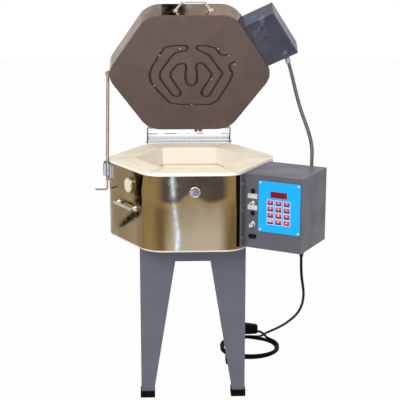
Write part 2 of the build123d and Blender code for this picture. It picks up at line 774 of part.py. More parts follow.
def stay_bracket():
    """Strap on the body's left corner that carries the guide on a riveted pin."""
    y0 = STAY_Y - STRAP_HALF
    y1 = STAY_Y + STRAP_HALF
    z0 = STAY_GUIDE_Z - STRAP_H / 2
    z1 = STAY_GUIDE_Z + STRAP_H / 2
    loop = box_between(STRAP_X - STRAP_T, -CORNER_CENTRE, y0 - STRAP_T, y1 + STRAP_T, z0, z1)
    loop -= box_between(STRAP_X, -CORNER_CENTRE, y0, y1, z0, z1)
    loop -= brick_outline(JACKET_T, z0, z1)
    band = sheet_ring(JACKET_T, JACKET_T + STRAP_T, z0, z1)
    front = band & box_between(-2 * CORNER_X, -CORNER_CENTRE, y0 - STRAP_FRONT, y0, z0, z1)
    rear = band & box_between(-2 * CORNER_X, -CORNER_CENTRE, y1, y1 + STRAP_REAR, z0, z1)
    pin = stay_bar(STRAP_X - STRAP_T, GUIDE_X0 + GUIDE_WALL - PIN_FIT, STAY_BOLT_R, STAY_GUIDE_Z)
    head = stay_bar(STRAP_X - 2 * STRAP_T, STRAP_X - STRAP_T, STAY_BOLT_HEAD_R, STAY_GUIDE_Z)
    return joined([loop, front, rear, pin, head])


def stay_guide():
    """Swivelling block, open towards the body, that the stay tube slides through."""
    half = GUIDE_LONG / 2
    block = box_between(GUIDE_X0, STAY_X + GUIDE_OPEN_AT, STAY_Y - half, STAY_Y + half,
                        STAY_GUIDE_Z - GUIDE_H / 2, STAY_GUIDE_Z + GUIDE_H / 2)
    block -= Pos(STAY_X, STAY_Y, STAY_GUIDE_Z) * Cylinder(STAY_TUBE_R + GUIDE_FIT, GUIDE_H)
    return slanted(block - stay_bar(GUIDE_X0, GUIDE_X0 + GUIDE_WALL, STAY_BOLT_R + PIN_FIT, STAY_GUIDE_Z))


def stay_reach():
    """Distance from the guide to the lid's pivot in the propped pose."""
    return (open_point(STAY_X, STAY_Y, STAY_LID_Z) - Vector(STAY_X, STAY_Y, STAY_GUIDE_Z)).length


def stay_rod():
    """Stay tube with its pivot hole and, below it, a thin rod bent out into a finger grip."""
    top = STAY_GUIDE_Z + stay_reach()
    tube_end = STAY_GUIDE_Z - STAY_TUBE_DOWN
    low = STAY_GUIDE_Z - STAY_GRIP_DOWN
    tube = rod((STAY_X, STAY_Y, tube_end), (STAY_X, STAY_Y, top + STAY_TOP), STAY_TUBE_R)
    tube -= stay_bar(STAY_X - STAY_TUBE_R, STAY_X + STAY_TUBE_R, STAY_BOLT_R + PIN_FIT, top)
    grip, _ = tube_along([(STAY_X, STAY_Y, tube_end + STAY_TUBE_R), (STAY_X, STAY_Y, low),
                          (STAY_X - STAY_GRIP_OUT, STAY_Y, low)], STAY_ROD_R, STAY_BEND_R)
    return slanted(tube + grip)


def lid_stay_bracket():
    """Plate, boss and bolt on the lid's left corner that the stay tube turns on."""
    z0 = STAY_LID_Z - LID_EAR_H / 2
    z1 = STAY_LID_Z + LID_EAR_H / 2
    band = sheet_ring(JACKET_T, JACKET_T + LID_EAR_T, z0, z1)
    plate = band & box_between(-2 * CORNER_X, -CORNER_CENTRE, STAY_Y - LID_EAR_FRONT,
                               STAY_Y + LID_EAR_REAR, z0, z1)
    inner = STAY_X + STAY_TUBE_R + LOOSE
    outer = STAY_X - STAY_TUBE_R - LOOSE
    boss = stay_bar(inner, -CORNER_CENTRE, STAY_BOLT_HEAD_R, STAY_LID_Z)
    boss -= brick_outline(JACKET_T, z0, z1)
    bolt = stay_bar(outer, inner + LOOSE, STAY_BOLT_R, STAY_LID_Z)
    head = stay_bar(outer - STAY_BOLT_HEAD_T, outer, STAY_BOLT_HEAD_R, STAY_LID_Z)
    return opened(joined([plate, boss, bolt, head]))


def panel_plane(n, z, out=0.0):
    """Plane on the panel's outer face: X away from the kiln, Y up, Z out of the panel."""
    return Plane(origin=(BRICK_FACE + n, BOX_T0 - out, z), x_dir=(1, 0, 0), z_dir=(0, -1, 0))


def pad(n, z, width, height, out0, out1, corner_r=0.0):
    """A rectangular block on the panel between two distances out of its face."""
    shape = Rectangle(width, height)
    if corner_r > 0:
        shape = fillet(shape.vertices(), corner_r)
    return extrude(panel_plane(n, z, out0) * shape, amount=out1 - out0)


def disc(n, z, radius, out0, out1):
    """A round block on the panel between two distances out of its face."""
    return extrude(panel_plane(n, z, out0) * Circle(radius), amount=out1 - out0)


def rounded_disc(n, z, radius, out0, out1, edge_r):
    """A round block with its outer edge rounded."""
    shape = disc(n, z, radius, out0, out1)
    return fillet(shape.edges().sort_by(Axis.Y)[0], edge_r)


def plate_screw_places():
    """The controller plate's four corner screws."""
    half_w = PLATE_W / 2 - PLATE_SCREW_IN
    half_h = PLATE_H / 2 - PLATE_SCREW_IN
    return [(PLATE_N + side * half_w, PLATE_Z + up * half_h) for side in (-1, 1) for up in (-1, 1)]


def plate_screw_holes():
    """Holes of the controller plate's screws."""
    return joined([disc(n, z, SCREW_SHANK_R + LOOSE, -SCREW_SHANK_L, PLATE_T)
                   for n, z in plate_screw_places()])


def flange_screw(height, radius, n0, n1):
    """A bar along N through the panel's flange at a height above the box's floor."""
    t = BOX_T0 - BACK_FLANGE / 2
    return rod((n0, t, BOX_Z0 + height), (n1, t, BOX_Z0 + height), radius)


def flange_screw_holes():
    """Holes of the flange screws through the panel's flange and the back plate."""
    return joined([flange_screw(height, SCREW_SHANK_R + LOOSE, JACKET_FACE, BOX_N0 + BOX_SHEET)
                   for height in FLANGE_SCREWS])


def control_box_back():
    """Mounting plate of the control box on the body's front right face."""
    plate = box_between(JACKET_FACE, BOX_N0, BOX_T0 - BACK_FLANGE, BOX_T1, BOX_Z0, BOX_Z1)
    return BOX_TURN * (plate - flange_screw_holes()) - front_right_holes()


def conduit_hole():
    """Hole of the conduit fitting in the rear wall of the control box."""
    n = BRICK_FACE + CONDUIT_BOX_N
    return rod((n, BOX_T1 - BOX_SHEET, CONDUIT_BOX_Z), (n, BOX_T1, CONDUIT_BOX_Z), CONDUIT_R)


def control_box_shell():
    """Folded casing: top, bottom, outer side and rear, open to the panel and to the back plate."""
    t0 = BOX_T0 + BOX_SHEET
    outer = box_between(BOX_N0, BOX_N1, t0, BOX_T1, BOX_Z0, BOX_Z1)
    inner = box_between(BOX_N0, BOX_N1 - BOX_SHEET, t0, BOX_T1 - BOX_SHEET,
                        BOX_Z0 + BOX_SHEET, BOX_Z1 - BOX_SHEET)
    gland = Pos(BRICK_FACE + GLAND_N, GLAND_T, BOX_Z0) * Cylinder(GLAND_NECK_R, BOX_SHEET, align=LOW)
    return BOX_TURN * (outer - inner - gland - conduit_hole())


def rocker_well(wall):
    """Width and height of the rocker switch's well, grown by a wall on each side."""
    width = ROCKER_PAD_W + 2 * (ROCKER_SIDE_GAP + wall)
    return width, ROCKER_PAD_H + 2 * (ROCKER_END_GAP + wall)


def control_panel():
    """Front sheet of the casing, bent to a flange on the back plate, with its cutouts."""
    front = box_between(BOX_N0, BOX_N1, BOX_T0, BOX_T0 + BOX_SHEET, BOX_Z0, BOX_Z1)
    flange = box_between(BOX_N0, BOX_N0 + BOX_SHEET, BOX_T0 - BACK_FLANGE, BOX_T0, BOX_Z0, BOX_Z1)
    cutouts = [pad(PLATE_N, PLATE_Z, WINDOW_W, WINDOW_H, -BOX_SHEET, 0),
               pad(SWITCH_N, ROCKER_Z, *rocker_well(ROCKER_WALL), -BOX_SHEET, 0),
               plate_screw_holes(), flange_screw_holes()]
    cutouts += [disc(SWITCH_N, z, LAMP_BODY_R + LOOSE, -BOX_SHEET, 0) for z in LAMP_ZS]
    cutouts += [disc(SWITCH_N, z, NECK_HOLE_R, -BOX_SHEET, 0) for z in (TOGGLE_Z, KNOB_Z)]
    return BOX_TURN * (front + flange - joined(cutouts))


def key_places():
    """The twelve keys in rows of three: name, place N and level."""
    names = ["1", "2", "3", "4", "5", "6", "7", "8", "9", "stop", "0", "start"]
    places = []
    for index, name in enumerate(names):
        row, column = divmod(index, 3)
        places.append((name, KEYS_N + (column - 1) * KEY_PITCH_N, KEY_TOP_Z - row * KEY_PITCH_Z))
    return places


def controller_plate():
    """Front plate of the controller with its display window and key holes."""
    plate = pad(PLATE_N, PLATE_Z, PLATE_W, PLATE_H, 0, PLATE_T, PLATE_T)
    plate -= pad(KEYS_N, DISPLAY_Z, DISPLAY_W, DISPLAY_H, 0, PLATE_T)
    for _, n, z in key_places():
        plate -= pad(n, z, KEY_W + 2 * KEY_FIT, KEY_H + 2 * KEY_FIT, 0, PLATE_T)
    return BOX_TURN * (plate - plate_screw_holes())


def display_window():
    """Tinted window over the digits."""
    return BOX_TURN * pad(KEYS_N, DISPLAY_Z, DISPLAY_W, DISPLAY_H, 0, PLATE_T + DISPLAY_PROUD)


def key(n, z):
    """One press key, a little proud of the plate."""
    top = PLATE_T + KEY_PROUD
    return BOX_TURN * pad(n, z, KEY_W, KEY_H, top - KEY_T, top, KEY_ROUND)


def controller_board():
    """Circuit board on four stand-offs, with the digits and a switch post under each key."""
    face = BOARD_T - BOARD_BACK
    post_end = PLATE_T + KEY_PROUD - KEY_T - KEY_TRAVEL - KEY_REST_GAP
    parts = [pad(PLATE_N, PLATE_Z, BOARD_W, BOARD_H, -BOARD_BACK, face),
             pad(KEYS_N, DISPLAY_Z, DISPLAY_W, DISPLAY_H, face, 0)]
    for side in (-1, 1):
        for up in (-1, 1):
            n = PLATE_N + side * (BOARD_W / 2 - STANDOFF_IN)
            z = PLATE_Z + up * (BOARD_H / 2 - STANDOFF_IN)
            parts.append(disc(n, z, STANDOFF_R, face, -BOX_SHEET))
    parts += [disc(n, z, STANDOFF_R, face, post_end) for _, n, z in key_places()]
    return BOX_TURN * joined(parts)


def inner_block(size, t, z0):
    """A block on the back plate inside the control box."""
    length, width, height = size
    return box_between(BOX_N0, BOX_N0 + length, t - width / 2, t + width / 2, z0, z0 + height)


def power_parts():
    """Transformer, two relays and the element's terminal block on the back plate."""
    terminals = inner_block(TERMINALS, 0, WALL_COIL_Z - TERMINALS[2] / 2)
    for t in (-TAIL_SPREAD, TAIL_SPREAD):
        terminals -= rod((BOX_N0, t, WALL_COIL_Z), (BOX_N0 + TERMINALS[0], t, WALL_COIL_Z),
                         TAIL_R + PIN_FIT)
    blocks = [inner_block(TRANSFORMER, TRANSFORMER_T, BOX_Z0 + INNER_Z), terminals]
    blocks += [inner_block(RELAY, t, BOX_Z0 + INNER_Z) for t in RELAY_TS]
    return group([BOX_TURN * block for block in blocks])


def indicator_lamps():
    """Two round lamps in the panel."""
    lamps = []
    for z in LAMP_ZS:
        lens = rounded_disc(SWITCH_N, z, LAMP_R, 0, LAMP_OUT, LAMP_ROUND)
        lamps.append(BOX_TURN * (lens + disc(SWITCH_N, z, LAMP_BODY_R, -LAMP_DEPTH, 0)))
    return group(lamps)


def label_plates():
    """Two blank label plates under the lamp and the toggle switch."""
    return group([BOX_TURN * pad(LABEL_N, z, LABEL_W, LABEL_H, 0, LABEL_T, LABEL_ROUND)
                  for z in LABEL_ZS])


def toggle_body():
    """Body and neck of the toggle switch."""
    width, height, depth = TOGGLE_BODY
    body = pad(SWITCH_N, TOGGLE_Z, width, height, -BOX_SHEET - depth, -BOX_SHEET)
    neck_end = TOGGLE_PIVOT_OUT - TOGGLE_BALL_R - LOOSE
    return body + disc(SWITCH_N, TOGGLE_Z, NECK_R, -BOX_SHEET, neck_end)


def rotary_body():
    """Body, neck and shaft of the rotary switch."""
    body = disc(SWITCH_N, KNOB_Z, ROTARY_R, -BOX_SHEET - ROTARY_DEPTH, -BOX_SHEET)
    neck = disc(SWITCH_N, KNOB_Z, NECK_R, -BOX_SHEET, KNOB_GAP - LOOSE)
    return body + neck + disc(SWITCH_N, KNOB_Z, KNOB_SHAFT_R, 0, KNOB_SHAFT_L)


def rocker_frame():
    """Oval rim and well of the rocker switch."""
    rim = extrude(panel_plane(SWITCH_N, ROCKER_Z) * SlotOverall(ROCKER_W, ROCKER_H), amount=ROCKER_RIM)
    body = pad(SWITCH_N, ROCKER_Z, *rocker_well(ROCKER_WALL), -ROCKER_DEPTH, 0)
    return rim + body - pad(SWITCH_N, ROCKER_Z, *rocker_well(0), -ROCKER_WELL, ROCKER_RIM)


def switch_bodies():
    """Fixed parts of the toggle, the rotary and the rocker switch."""
    return group([BOX_TURN * shape for shape in (toggle_body(), rotary_body(), rocker_frame())])


def toggle_lever():
    """Bat of the toggle switch, thrown up, on the ball over its neck."""
    bat = loft([Circle(TOGGLE_ROOT_R), Pos(0, 0, TOGGLE_L) * Circle(TOGGLE_TIP_R)])
    lever = Sphere(TOGGLE_BALL_R) + bat + Pos(0, 0, TOGGLE_L) * Sphere(TOGGLE_TIP_R)
    place = panel_plane(SWITCH_N, TOGGLE_Z, TOGGLE_PIVOT_OUT).location
    return BOX_TURN * (place * (Rot(-TOGGLE_REST_DEG, 0, 0) * lever))


def selector_knob():
    """Metal knob on the rotary switch's shaft, with a pointer groove."""
    end = KNOB_GAP + KNOB_T
    knob = rounded_disc(SWITCH_N, KNOB_Z, KNOB_R, KNOB_GAP, end, KNOB_ROUND)
    knob -= disc(SWITCH_N, KNOB_Z, KNOB_SHAFT_R + PIN_FIT, KNOB_GAP, KNOB_SHAFT_L + LOOSE)
    groove_z = KNOB_Z + KNOB_R / 2
    return BOX_TURN * (knob - pad(SWITCH_N, groove_z, KNOB_GROOVE_W, KNOB_R, end - KNOB_GROOVE_T, end))


def rocker_button():
    """Tilting pad of the rocker switch, pressed in on its outer side."""
    place = panel_plane(SWITCH_N, ROCKER_Z, -ROCKER_PIVOT_IN).location
    block = Pos(0, 0, ROCKER_PAD_T / 4) * Box(ROCKER_PAD_W, ROCKER_PAD_H, ROCKER_PAD_T)
    return BOX_TURN * (place * (Rot(0, ROCKER_REST_DEG, 0) * block))


def box_screws():
    """Screws of the controller plate and of the panel's flange."""
    screws = []
    for n, z in plate_screw_places():
        head = rounded_disc(n, z, SCREW_HEAD_R, PLATE_T, PLATE_T + SCREW_HEAD_T, SCREW_ROUND)
        shank = disc(n, z, SCREW_SHANK_R, PLATE_T - SCREW_SHANK_L, PLATE_T)
        screws.append(BOX_TURN * (head + shank))
    n0 = BOX_N0 + BOX_SHEET
    for height in FLANGE_SCREWS:
        head = flange_screw(height, SCREW_HEAD_R, n0, n0 + SCREW_HEAD_T)
        screws.append(BOX_TURN * (head + flange_screw(height, SCREW_SHANK_R, n0 - SCREW_SHANK_L, n0)))
    return group(screws)


def cord_gland():
    """Strain relief under the control box: a nut inside, a nut and a tapered neck below."""
    place = Pos(BRICK_FACE + GLAND_N, GLAND_T, BOX_Z0)
    neck = place * Cylinder(GLAND_NECK_R - LOOSE, BOX_SHEET, align=LOW)
    inner_nut = place * Pos(0, 0, BOX_SHEET) * Cylinder(GLAND_NUT_R, GLAND_NUT_T, align=LOW)
    outer_nut = place * Cylinder(GLAND_NUT_R, GLAND_NUT_T, align=HIGH)
    tip = Plane(origin=(BRICK_FACE + GLAND_N, GLAND_T, BOX_Z0 - GLAND_L))
    spout = loft([tip * Circle(GLAND_TIP_R), tip.offset(GLAND_L - GLAND_NUT_T) * Circle(GLAND_NECK_R)])
    return BOX_TURN * joined([neck, inner_nut, outer_nut, spout])


def power_cord():
    """Free stretch of the cord from the gland down to the coil on the floor."""
    start = on_box_side(BRICK_FACE + GLAND_N, GLAND_T, BOX_Z0 - GLAND_L)
    points = [start, start - Vector(0, 0, CORD_DROP)] + [Vector(point) for point in CORD_ROUTE]
    cord, path = tube_along(points, CORD_R)
    report_tube("cord", points, cord, path, CORD_R)
    return cord


def cord_coil():
    """Outer shape of the coiled rest of the cord."""
    ring = Cylinder(COIL_OUT_R, COIL_H, align=LOW) - Cylinder(COIL_IN_R, COIL_H, align=LOW)
    return Pos(COIL_X, COIL_Y, 0) * fillet(ring.edges().filter_by(GeomType.CIRCLE), COIL_ROUND)


def plug():
    """Moulded plug lying on the back of the coil, with two blades and a round earth pin."""
    y = COIL_Y + (COIL_OUT_R + COIL_IN_R) / 2
    body = Pos(PLUG_X, y, COIL_H) * Box(PLUG_W, PLUG_D, PLUG_H, align=LOW)
    body = fillet(body.edges().filter_by(Axis.Y), PLUG_EDGE_R)
    face = PLUG_X - PLUG_W / 2
    middle = COIL_H + PLUG_H / 2
    parts = [body]
    for side in (-1, 1):
        y0 = y + side * BLADE_GAP / 2 - BLADE_T / 2
        z0 = middle + BLADE_UP - BLADE_W / 2
        parts.append(box_between(face - BLADE_L, face + BLADE_T, y0, y0 + BLADE_T, z0, z0 + BLADE_W))
    z = middle - EARTH_DOWN
    parts.append(rod((face - BLADE_L, y, z), (face + EARTH_R, y, z), EARTH_R))
    return joined(parts)


def elbow_top():
    """Top of the control box's conduit elbow, where the conduit starts."""
    return on_box_side(BRICK_FACE + CONDUIT_BOX_N, BOX_T1 + BOX_FITTING_L,
                       CONDUIT_BOX_Z + BOX_FITTING_RISE)


def conduit_fitting():
    """Elbow on the rear of the control box for the flexible conduit."""
    n = BRICK_FACE + CONDUIT_BOX_N
    t1 = BOX_T1 + BOX_FITTING_L
    z = CONDUIT_BOX_Z
    return BOX_TURN * joined([
        rod((n, BOX_T1, z), (n, BOX_T1 + FITTING_FLANGE_T, z), FITTING_FLANGE_R),
        rod((n, BOX_T1, z), (n, t1, z), FITTING_R), Pos(n, t1, z) * Sphere(FITTING_R),
        rod((n, t1, z), (n, t1, z + BOX_FITTING_RISE), FITTING_R)])


def lid_knee():
    """Bend of the lid's conduit connector in the propped pose."""
    spot = on_box_side(BRICK_FACE + CONDUIT_LID_N, LID_BOX_T1 + LID_FITTING_L,
                       LID_BOX_Z0 + CONDUIT_LID_UP)
    return open_point(spot.X, spot.Y, spot.Z)


def conduit_hang():
    """Points of the conduit's hanging stretch, at the stand's height."""
    return [Vector(x, y, STAND_H + z) for x, y, z in CONDUIT_ROUTE]


def lid_mouth():
    """Mouth of the lid's conduit connector, which points along the conduit's first run."""
    knee = lid_knee()
    return knee + (conduit_hang()[0] - knee).normalized() * LID_FITTING_NOZZLE


def lid_conduit_fitting():
    """Angled connector on the end of the lid's wiring box."""
    n = BRICK_FACE + CONDUIT_LID_N
    t = LID_BOX_T1
    z = LID_BOX_Z0 + CONDUIT_LID_UP
    flange = rod((n, t, z), (n, t + FITTING_FLANGE_T, z), FITTING_FLANGE_R)
    neck = rod((n, t, z), (n, t + LID_FITTING_L, z), FITTING_R)
    knee = Pos(lid_knee()) * Sphere(FITTING_R)
    return opened(BOX_TURN * (flange + neck)) + knee + rod(lid_knee(), lid_mouth(), FITTING_R)


def lid_conduit():
    """Flexible conduit that carries the lid's wires down to the control box."""
    bottom = elbow_top()
    points = [lid_mouth(), *conduit_hang(), bottom + Vector(0, 0, CONDUIT_DROP), bottom]
    tube, path = tube_along(points, CONDUIT_R)
    report_tube("conduit", points, tube, path, CONDUIT_R)
    return tube


def lid_track():
    """The element's path in the lid's underside, closed pose."""
    return FilletPolyline(*LID_TRACK, radius=corner_radii(LID_TRACK, LID_BEND_R))


def lid_tails(radius):
    """From each end of the track up into the slab and out to the terminal strip."""
    parts = []
    high = LID_Z0 + LID_WIRE_UP
    for x, y in (LID_TRACK[0], LID_TRACK[-1]):
        place = Vector(x, y, high).rotate(Axis.Z, 30)
        out = on_box_side(LID_STRIP_N0, place.Y, high)
        parts.append(rod((x, y, LID_Z0 + LID_GROOVE_DEPTH / 2), (x, y, high), radius))
        parts.append(Pos(x, y, high) * Sphere(radius))
        parts.append(rod((x, y, high), out, radius))
    return joined(parts)


def lid_flange_screw(radius, n0, n1):
    """A bar through the near flange of the lid's wiring box."""
    t = LID_BOX_T0 - LID_FLANGE / 2
    z = LID_BOX_Z0 + LID_FLANGE_SCREW_UP
    return BOX_TURN * rod((n0, t, z), (n1, t, z), radius)


def lid_flange_hole():
    """Hole of the flange screw through the flange and the jacket into the slab."""
    n1 = JACKET_FACE + BOX_SHEET
    return lid_flange_screw(SCREW_SHANK_R + LOOSE, n1 - SCREW_SHANK_L - LOOSE, n1)


def lid_slab():
    """Firebrick lid with the element groove in its underside."""
    slab = brick_outline(0, LID_Z0, LID_Z1)
    slab -= extrude(Pos(0, 0, LID_Z0) * trace(lid_track(), LID_GROOVE_W), amount=LID_GROOVE_DEPTH)
    for x, y in (LID_TRACK[0], LID_TRACK[-1]):
        slab -= Pos(x, y, LID_Z0) * Cylinder(LID_GROOVE_W / 2, LID_GROOVE_DEPTH, align=LOW)
    return opened(slab - lid_tails(LID_HOLE_R) - lid_flange_hole())


def lid_element():
    """Heating coil in the lid groove, as its outer round, with its two tails."""
    path = Pos(0, 0, LID_Z0 + LID_GROOVE_DEPTH / 2) * lid_track()
    coil = sweep(Plane(origin=path @ 0, z_dir=path % 0) * Circle(LID_COIL_R), path=path)
    return opened(coil + lid_tails(LID_WIRE_R))


def lid_clamp():
    """Screw clamp of the lid's band, close under the hinge shelf."""
    z1 = SHELF_Z0 - LOOSE
    z0 = z1 - LID_CLAMP_H
    y0 = JACKET_FACE
    y1 = y0 + LID_CLAMP_OUT
    near = LID_CLAMP_GAP / 2
    far = near + LID_CLAMP_LUG
    reach = far + LID_CLAMP_SCREW_OVER
    y = (y0 + y1) / 2
    z = (z0 + z1) / 2
    return joined([
        box_between(LID_CLAMP_X - far, LID_CLAMP_X - near, y0, y1, z0, z1),
        box_between(LID_CLAMP_X + near, LID_CLAMP_X + far, y0, y1, z0, z1),
        rod((LID_CLAMP_X - reach, y, z), (LID_CLAMP_X + reach, y, z), LID_CLAMP_SCREW_R)])


def lid_jacket():
    """Stainless band and top sheet of the lid, and the band's clamp."""
    jacket = sheet_ring(0, JACKET_T, LID_Z0 + LID_BAND_UP, LID_Z1)
    jacket += brick_outline(JACKET_T, LID_Z1, LID_Z1 + JACKET_T)
    return group([opened(jacket - lid_tails(LID_HOLE_R) - lid_flange_hole()), opened(lid_clamp())])


def lid_handle():
    """Bent rod handle on the lid's front, standing on two round feet."""
    z = LID_Z0 + HANDLE_UP
    y = -JACKET_FACE
    half = HANDLE_SPAN / 2
    grip = HANDLE_GRIP / 2
    bar, _ = tube_along([
        (HANDLE_X - half, y, z), (HANDLE_X - grip, y - HANDLE_OUT, z),
        (HANDLE_X + grip, y - HANDLE_OUT, z), (HANDLE_X + half, y, z)], HANDLE_ROD_R, HANDLE_BEND_R)
    feet_pair = [rod((x, y - HANDLE_FOOT_T, z), (x, y, z), HANDLE_FOOT_R)
                 for x in (HANDLE_X - half, HANDLE_X + half)]
    return opened(joined([bar] + feet_pair) - brick_outline(JACKET_T, LID_Z0, LID_Z1))


def lid_screw_bar(n, t, radius):
    """Shank of a terminal strip screw through the floor of the lid's wiring box."""
    return Pos(BRICK_FACE + n, t, LID_BOX_Z0) * Cylinder(radius, BOX_SHEET, align=LOW)


def lid_box():
    """Wiring box on the lid's front right face, open on top, with a flange on its near end."""
    z1 = LID_BOX_Z1 - BOX_SHEET
    outer = box_between(JACKET_FACE, LID_BOX_N1, LID_BOX_T0, LID_BOX_T1, LID_BOX_Z0, z1)
    inner = box_between(JACKET_FACE + BOX_SHEET, LID_BOX_N1 - BOX_SHEET, LID_BOX_T0 + BOX_SHEET,
                        LID_BOX_T1 - BOX_SHEET, LID_BOX_Z0 + BOX_SHEET, z1)
    flange = box_between(JACKET_FACE, JACKET_FACE + BOX_SHEET, LID_BOX_T0 - LID_FLANGE, LID_BOX_T0,
                         LID_BOX_Z0, z1)
    n = BRICK_FACE + CONDUIT_LID_N
    z = LID_BOX_Z0 + CONDUIT_LID_UP
    holes = [rod((n, LID_BOX_T1 - BOX_SHEET, z), (n, LID_BOX_T1, z), CONDUIT_R)]
    holes += [lid_screw_bar(*place, SCREW_SHANK_R + LOOSE) for place in LID_SCREWS]
    shell = outer - inner + flange - joined(holes)
    return opened(BOX_TURN * shell - lid_tails(LID_HOLE_R) - lid_flange_hole())


def lid_box_cover():
    """Top sheet of the lid's wiring box."""
    cover = box_between(JACKET_FACE, LID_BOX_N1, LID_BOX_T0, LID_BOX_T1, LID_BOX_Z1 - BOX_SHEET,
                        LID_BOX_Z1)
    return opened(BOX_TURN * cover)


def lid_terminals():
    """Terminal strip in the lid's wiring box, its two screws and the flange's screw."""
    z0 = LID_BOX_Z0 + BOX_SHEET
    strip = box_between(LID_STRIP_N0, LID_STRIP_N0 + LID_STRIP_L, LID_STRIP_T0, LID_STRIP_T1,
                        z0, z0 + LID_STRIP_H)
    pieces = [BOX_TURN * strip]
    for n, t in LID_SCREWS:
        head = Pos(BRICK_FACE + n, t, LID_BOX_Z0) * Cylinder(BIG_SCREW_R, BIG_SCREW_T, align=HIGH)
        pieces.append(BOX_TURN * (head + lid_screw_bar(n, t, SCREW_SHANK_R)))
    n1 = JACKET_FACE + BOX_SHEET
    head = lid_flange_screw(SCREW_HEAD_R, n1, n1 + SCREW_HEAD_T)
    pieces.append(head + lid_flange_screw(SCREW_SHANK_R, n1 - SCREW_SHANK_L, n1))
    return group([opened(piece) for piece in pieces])


def build():
    """Every sub-part by name, about the hexagon's axis."""
    nodes = {
        "stand_ends": stand_ends(),
        "stand_sides": stand_sides(),
        "feet": feet(),
        "stand_screws": stand_screws(),
        "base_plate": base_plate(),
        "floor_slab": floor_slab(),
        "wall_bricks": wall_bricks(),
        "wall_element": wall_element(),
        "thermocouple": thermocouple(),
        "body_jacket": body_jacket(),
        "front_peephole_plug": peephole_plug(FRONT_PLUG_X, FRONT_PLUG_R, FRONT_PLUG_T, FRONT_STEM_R),
        "side_peephole_plug": FRONT_LEFT * peephole_plug(
            SIDE_PLUG_X, SIDE_PLUG_R, SIDE_PLUG_T, SIDE_STEM_R),
        "carry_handles": carry_handles(),
        "body_hinge": body_hinge(),
        "hinge_pin": hinge_pin(),
        "stay_bracket": stay_bracket(),
        "stay_guide": stay_guide(),
        "stay_rod": stay_rod(),
        "control_box_back": control_box_back(),
        "control_box_shell": control_box_shell(),
        "control_panel": control_panel(),
        "controller_plate": controller_plate(),
        "display_window": display_window(),
        "controller_board": controller_board(),
        "power_parts": power_parts(),
        "indicator_lamps": indicator_lamps(),
        "label_plates": label_plates(),
        "switch_bodies": switch_bodies(),
        "toggle_lever": toggle_lever(),
        "selector_knob": selector_knob(),
        "rocker_button": rocker_button(),
        "box_screws": box_screws(),
        "cord_gland": cord_gland(),
        "power_cord": power_cord(),
        "cord_coil": cord_coil(),
        "plug": plug(),
        "conduit_fitting": conduit_fitting(),
        "lid_conduit": lid_conduit(),
        "lid_slab": lid_slab(),
        "lid_element": lid_element(),
        "lid_jacket": lid_jacket(),
        "lid_hinge": lid_hinge(),
        "lid_stay_bracket": lid_stay_bracket(),
        "lid_handle": lid_handle(),
        "lid_box": lid_box(),
        "lid_box_cover": lid_box_cover(),
        "lid_terminals": lid_terminals(),
        "lid_conduit_fitting": lid_conduit_fitting(),
    }
    for name, n, z in key_places():
        nodes["key_" + name] = key(n, z)
    return nodes


CORD_NODES = ("power_cord", "cord_coil", "plug")


def footprint_centre(nodes):
    """Middle of the footprint of everything but the free cord."""
    boxes = [shape.bounding_box() for name, shape in nodes.items() if name not in CORD_NODES]
    x = (min(box.min.X for box in boxes) + max(box.max.X for box in boxes)) / 2
    y = (min(box.min.Y for box in boxes) + max(box.max.Y for box in boxes)) / 2
    return x, y


def main():
    """Builds every sub-part and writes it with the footprint centred on the origin."""
    os.makedirs("parts", exist_ok=True)
    nodes = build()
    x, y = footprint_centre(nodes)
    print("footprint centre", round(x, 4), round(y, 4), "sub-parts", len(nodes))
    for name, shape in nodes.items():
        export_step(Pos(-x, -y, 0) * shape, "parts/" + name + ".step")


main()
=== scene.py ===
"""Glass fusing kiln: finishes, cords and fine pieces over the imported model.

Pieces are drawn in millimetres, from the kiln's axis and the floor. The studio and the patterns of the
finishes are in the row frame's metres.
"""

import logging
import math
from dataclasses import dataclass
from enum import Enum
from typing import Callable, Iterable, Sequence

import bpy
from mathutils import Matrix, Vector


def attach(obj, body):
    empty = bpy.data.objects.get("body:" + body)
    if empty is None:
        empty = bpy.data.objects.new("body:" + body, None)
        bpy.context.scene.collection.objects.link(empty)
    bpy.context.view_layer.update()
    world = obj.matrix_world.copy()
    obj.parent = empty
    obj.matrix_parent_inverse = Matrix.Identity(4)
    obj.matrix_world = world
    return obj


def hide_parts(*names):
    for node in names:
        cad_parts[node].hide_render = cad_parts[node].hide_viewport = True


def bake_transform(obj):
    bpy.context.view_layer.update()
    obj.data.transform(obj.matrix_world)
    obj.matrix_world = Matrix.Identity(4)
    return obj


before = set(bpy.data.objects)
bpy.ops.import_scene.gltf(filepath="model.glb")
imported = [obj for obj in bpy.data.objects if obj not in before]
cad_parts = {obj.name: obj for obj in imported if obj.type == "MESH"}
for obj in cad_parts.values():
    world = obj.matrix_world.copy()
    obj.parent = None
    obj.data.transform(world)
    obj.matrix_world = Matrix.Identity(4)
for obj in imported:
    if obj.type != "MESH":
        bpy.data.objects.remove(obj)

Colour = tuple[float, float, float]
Point = tuple[float, float, float]
Span = tuple[float, float]
Material = bpy.types.Material
Object = bpy.types.Object
Socket = bpy.types.NodeSocket
FaceTest = Callable[[bpy.types.MeshPolygon], bool]

